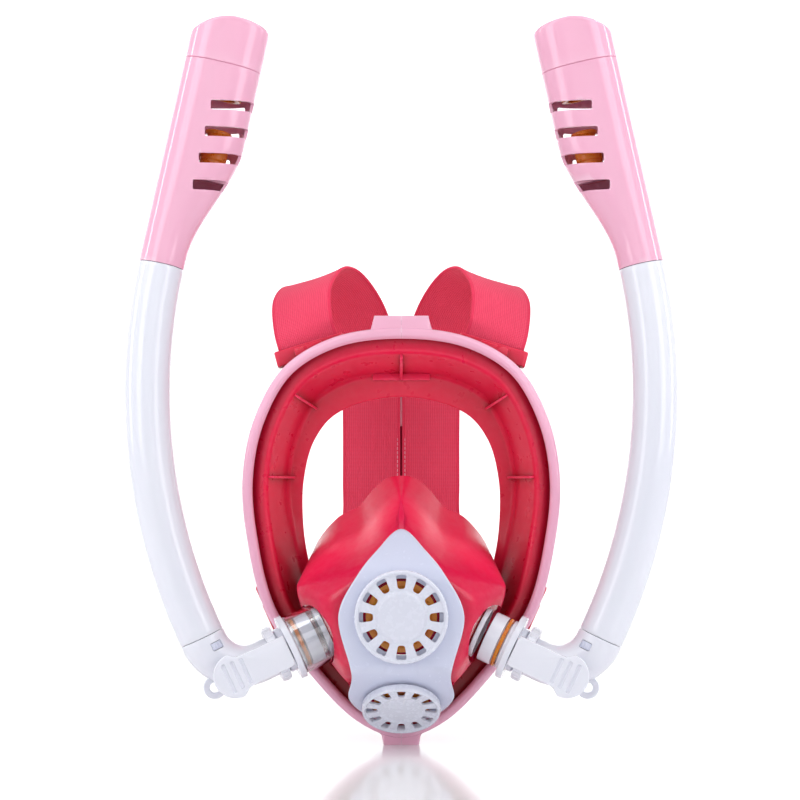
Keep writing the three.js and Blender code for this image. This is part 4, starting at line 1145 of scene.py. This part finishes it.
def make_seam():
    """The tape that joins the bands down the back, its rows of stitches, and cross stitches above it."""
    line = rounded_box((-SEAM_HALF, 0), (SEAM_HALF, 0.9), 0.35, 3)
    heights = np.linspace(SEAM_LOW, SEAM_HIGH, 40)
    shape = loft([[(x, SEAM_BACK + y, z) for x, y in line] for z in heights])
    shape.weave = [(x * 1.2, z, 0) for z in heights for x, y in line]
    piece("seam_tape", shape, ELASTIC, "mask", ["strap_seam"], 60)
    stitches = []
    for y in (SEAM_BACK + 1.0, SEAM_BACK - STRAP_THICK - GAP - 0.12):
        for x in (-2.2, 2.2):
            for z in np.arange(SEAM_LOW + 2, SEAM_HIGH - 2, 2.6):
                stitches.append(thread((x, y, z), (x, y, z + 1.9), 0.26))
    route = spline([s[:3] for s in STRAP_STOPS], False, np.linspace(0.42, 0.68, 60))[0][::-1]
    for z in np.arange(SEAM_HIGH - 2, 84, 0.5):
        y = np.interp(z, route[:, 2], route[:, 1])
        stitches.append(thread((-1.4, y, z), (1.4, y, z + 0.25), 0.3))
    piece("seam_stitches", joined(stitches), THREAD, "mask", (), 60)


def make_clips():
    """The loops at the straps' ends: a rounded frame that the band goes through, and an arm to the rim."""
    half = STRAP_WIDE / 2
    outer = rounded_box((-half - 3, -3.2), (half + 3, 3.2), 2.4, 6)
    inner = rounded_box((-half - 0.6, -1.5), (half + 0.6, 1.5), 1.0)
    loop = softened(cut(slab(outer, -4.5, 4.5), slab(inner, -9, 9)), 0.7, 3, 50)
    arms = {"top": ((-8, -7.6, -2.4), (8, -2.4, 2.4)), "bottom": ((-9, -3, 3.6), (9, -1.6, 8.6))}
    for part, end in ((0, "top"), (1, "bottom")):
        clip = (loop + soft_block(*arms[end], 0.6, 3)).moved(strap_axes(part))
        on_both_sides(f"clip_{end}", clip, SKIRT, "mask", f"strap_clip_{end}", 40)


# ---------------- small fittings


def make_screws():
    """Frame screws with a six-sided socket in the head."""
    profile = [(0, -9), (1.3, -9), (1.5, -8.7), (1.5, 6.6), (2.32, 6.6), (2.32, 8.8), (2.1, 9), (0, 9)]
    socket = slab([(1.15 * math.cos(a), 1.15 * math.sin(a)) for a in np.arange(6) * math.pi / 3], 7.6, 10)
    screw = cut(turned(profile, 48), socket)
    depth = (TAB_FRONT + TAB_BACK) / 2
    for name, high in (("top", TAB_TOP[1] - 3.6), ("bottom", TAB_BOTTOM[1] + 3.2)):
        place = axes((0, 1, 0), (0, 0, 1), (1, 0, 0), (0, depth, high))
        piece(f"screw_{name}", screw.moved(place), STEEL, "mask", [f"frame_screw_{name}"], 30)


def make_inlets():
    """The one-way inlet valves inside the ports: a spoked seat and a soft flap with a raised rim."""
    seat = collar(12, 14.2, -19.6, -17, 72, 0.3) + rod(2.4, -19.6, -17.6, 32, 0.2)
    seat = seat + around(soft_block((-0.8, 1.5, -19.6), (0.8, 13, -17.8), 0.25), 3)
    on_both_sides("inlet_grid", seat.moved(port_frame), WHITE, "mask", "inlet_seat", 40)
    flap = turned([
        (0, -20.9), (12.6, -20.9), (13.2, -20.4), (12.4, -19.95), (11.6, -20.2), (0, -20.0),
    ], 72, 0.15)
    on_both_sides("inlet_disc", flap.moved(port_frame), SKIRT, "inlet_valve", "inlet_flap", 40)


# ---------------- studio


def make_floor():
    """A pale round floor that sweeps up into a low wall all the way round."""
    low = TAB_BOTTOM[1] - 0.05
    line = rounded([(300, low), (2600, low), (2600, 1500)], 800, 24)
    sides = 96
    points = [(r * math.cos(a), r * math.sin(a), z) for r, z in line for a in circle(sides)]
    faces = [tuple(range(sides))]
    for i in range(len(line) - 1):
        for j in range(sides):
            after = (j + 1) % sides
            faces.append((i * sides + j, (i + 1) * sides + j, (i + 1) * sides + after, i * sides + after))
    floor = work_object(Shape(points, faces), MM)
    floor.name = floor.data.name = "studio_floor"
    for polygon in floor.data.polygons:
        polygon.use_smooth = True
    look = Look("studio_pale", "#fbfbfc", 0.10, {"Specular IOR Level": 0.6})
    look.worn(3, 2, 0.10, 0.13)
    floor.data.materials.append(look.material)


def soft_light(name, place, target, size, power):
    data = bpy.data.lights.new(name, "AREA")
    data.shape = "RECTANGLE"
    data.size, data.size_y = size
    data.energy = power
    lamp = bpy.data.objects.new(name, data)
    lamp.location = place
    lamp.rotation_euler = (Vector(target) - Vector(place)).to_track_quat("-Z", "Y").to_euler()
    lamp.visible_camera = False
    bpy.context.scene.collection.objects.link(lamp)


def make_studio():
    world = bpy.data.worlds.new("studio_world")
    world.use_nodes = True
    world.node_tree.nodes["Background"].inputs["Color"].default_value = (1, 1, 1, 1)
    world.node_tree.nodes["Background"].inputs["Strength"].default_value = 0.36
    bpy.context.scene.world = world
    bpy.context.scene.view_settings.view_transform = "Standard"
    for side, sign in (("left", -1), ("right", 1)):
        soft_light(f"key_{side}", (sign * 0.55, -0.60, 0.52), (sign * 0.05, 0, 0.08), (0.34, 1.1), 2.6)
        soft_light(f"edge_{side}", (sign * 0.80, -0.04, 0.50), (0, 0, 0.12), (0.05, 1.1), 2.6)
    soft_light("top", (0, -0.25, 1.15), (0, 0, 0.05), (1.3, 0.8), 2.2)
    soft_light("front", (0, -1.7, 0.55), (0, 0, 0.02), (1.0, 0.6), 1.0)
    soft_light("backdrop", (0, 1.5, 1.1), (0, 2.6, 0.3), (2.6, 0.6), 26)


def make_camera():
    """A long lens straight in front, 0.44 m across the picture at the mask."""
    data = bpy.data.cameras.new("camera")
    data.lens = 120
    data.sensor_width = 36
    wide = 0.44
    away = wide * data.lens / data.sensor_width
    camera = bpy.data.objects.new("camera", data)
    camera.location = (-0.0007, -away - 0.04, 0.0714)
    camera.rotation_euler = (math.pi / 2, 0, 0)
    bpy.context.scene.collection.objects.link(camera)
    bpy.context.scene.camera = camera


make_camera()
make_studio()
make_floor()
make_lens()
make_frame()
make_skirt()
make_cup()
make_panel()
make_valve("main_valve", MAIN_VALVE, 7.6)
make_valve("drain_valve", DRAIN_VALVE, 6.0)
make_elbow()
make_collar()
make_seals()
make_lever()
make_tube()
make_head()
make_cap()
make_float()
make_strap()
make_seam()
make_clips()
make_screws()
make_inlets()
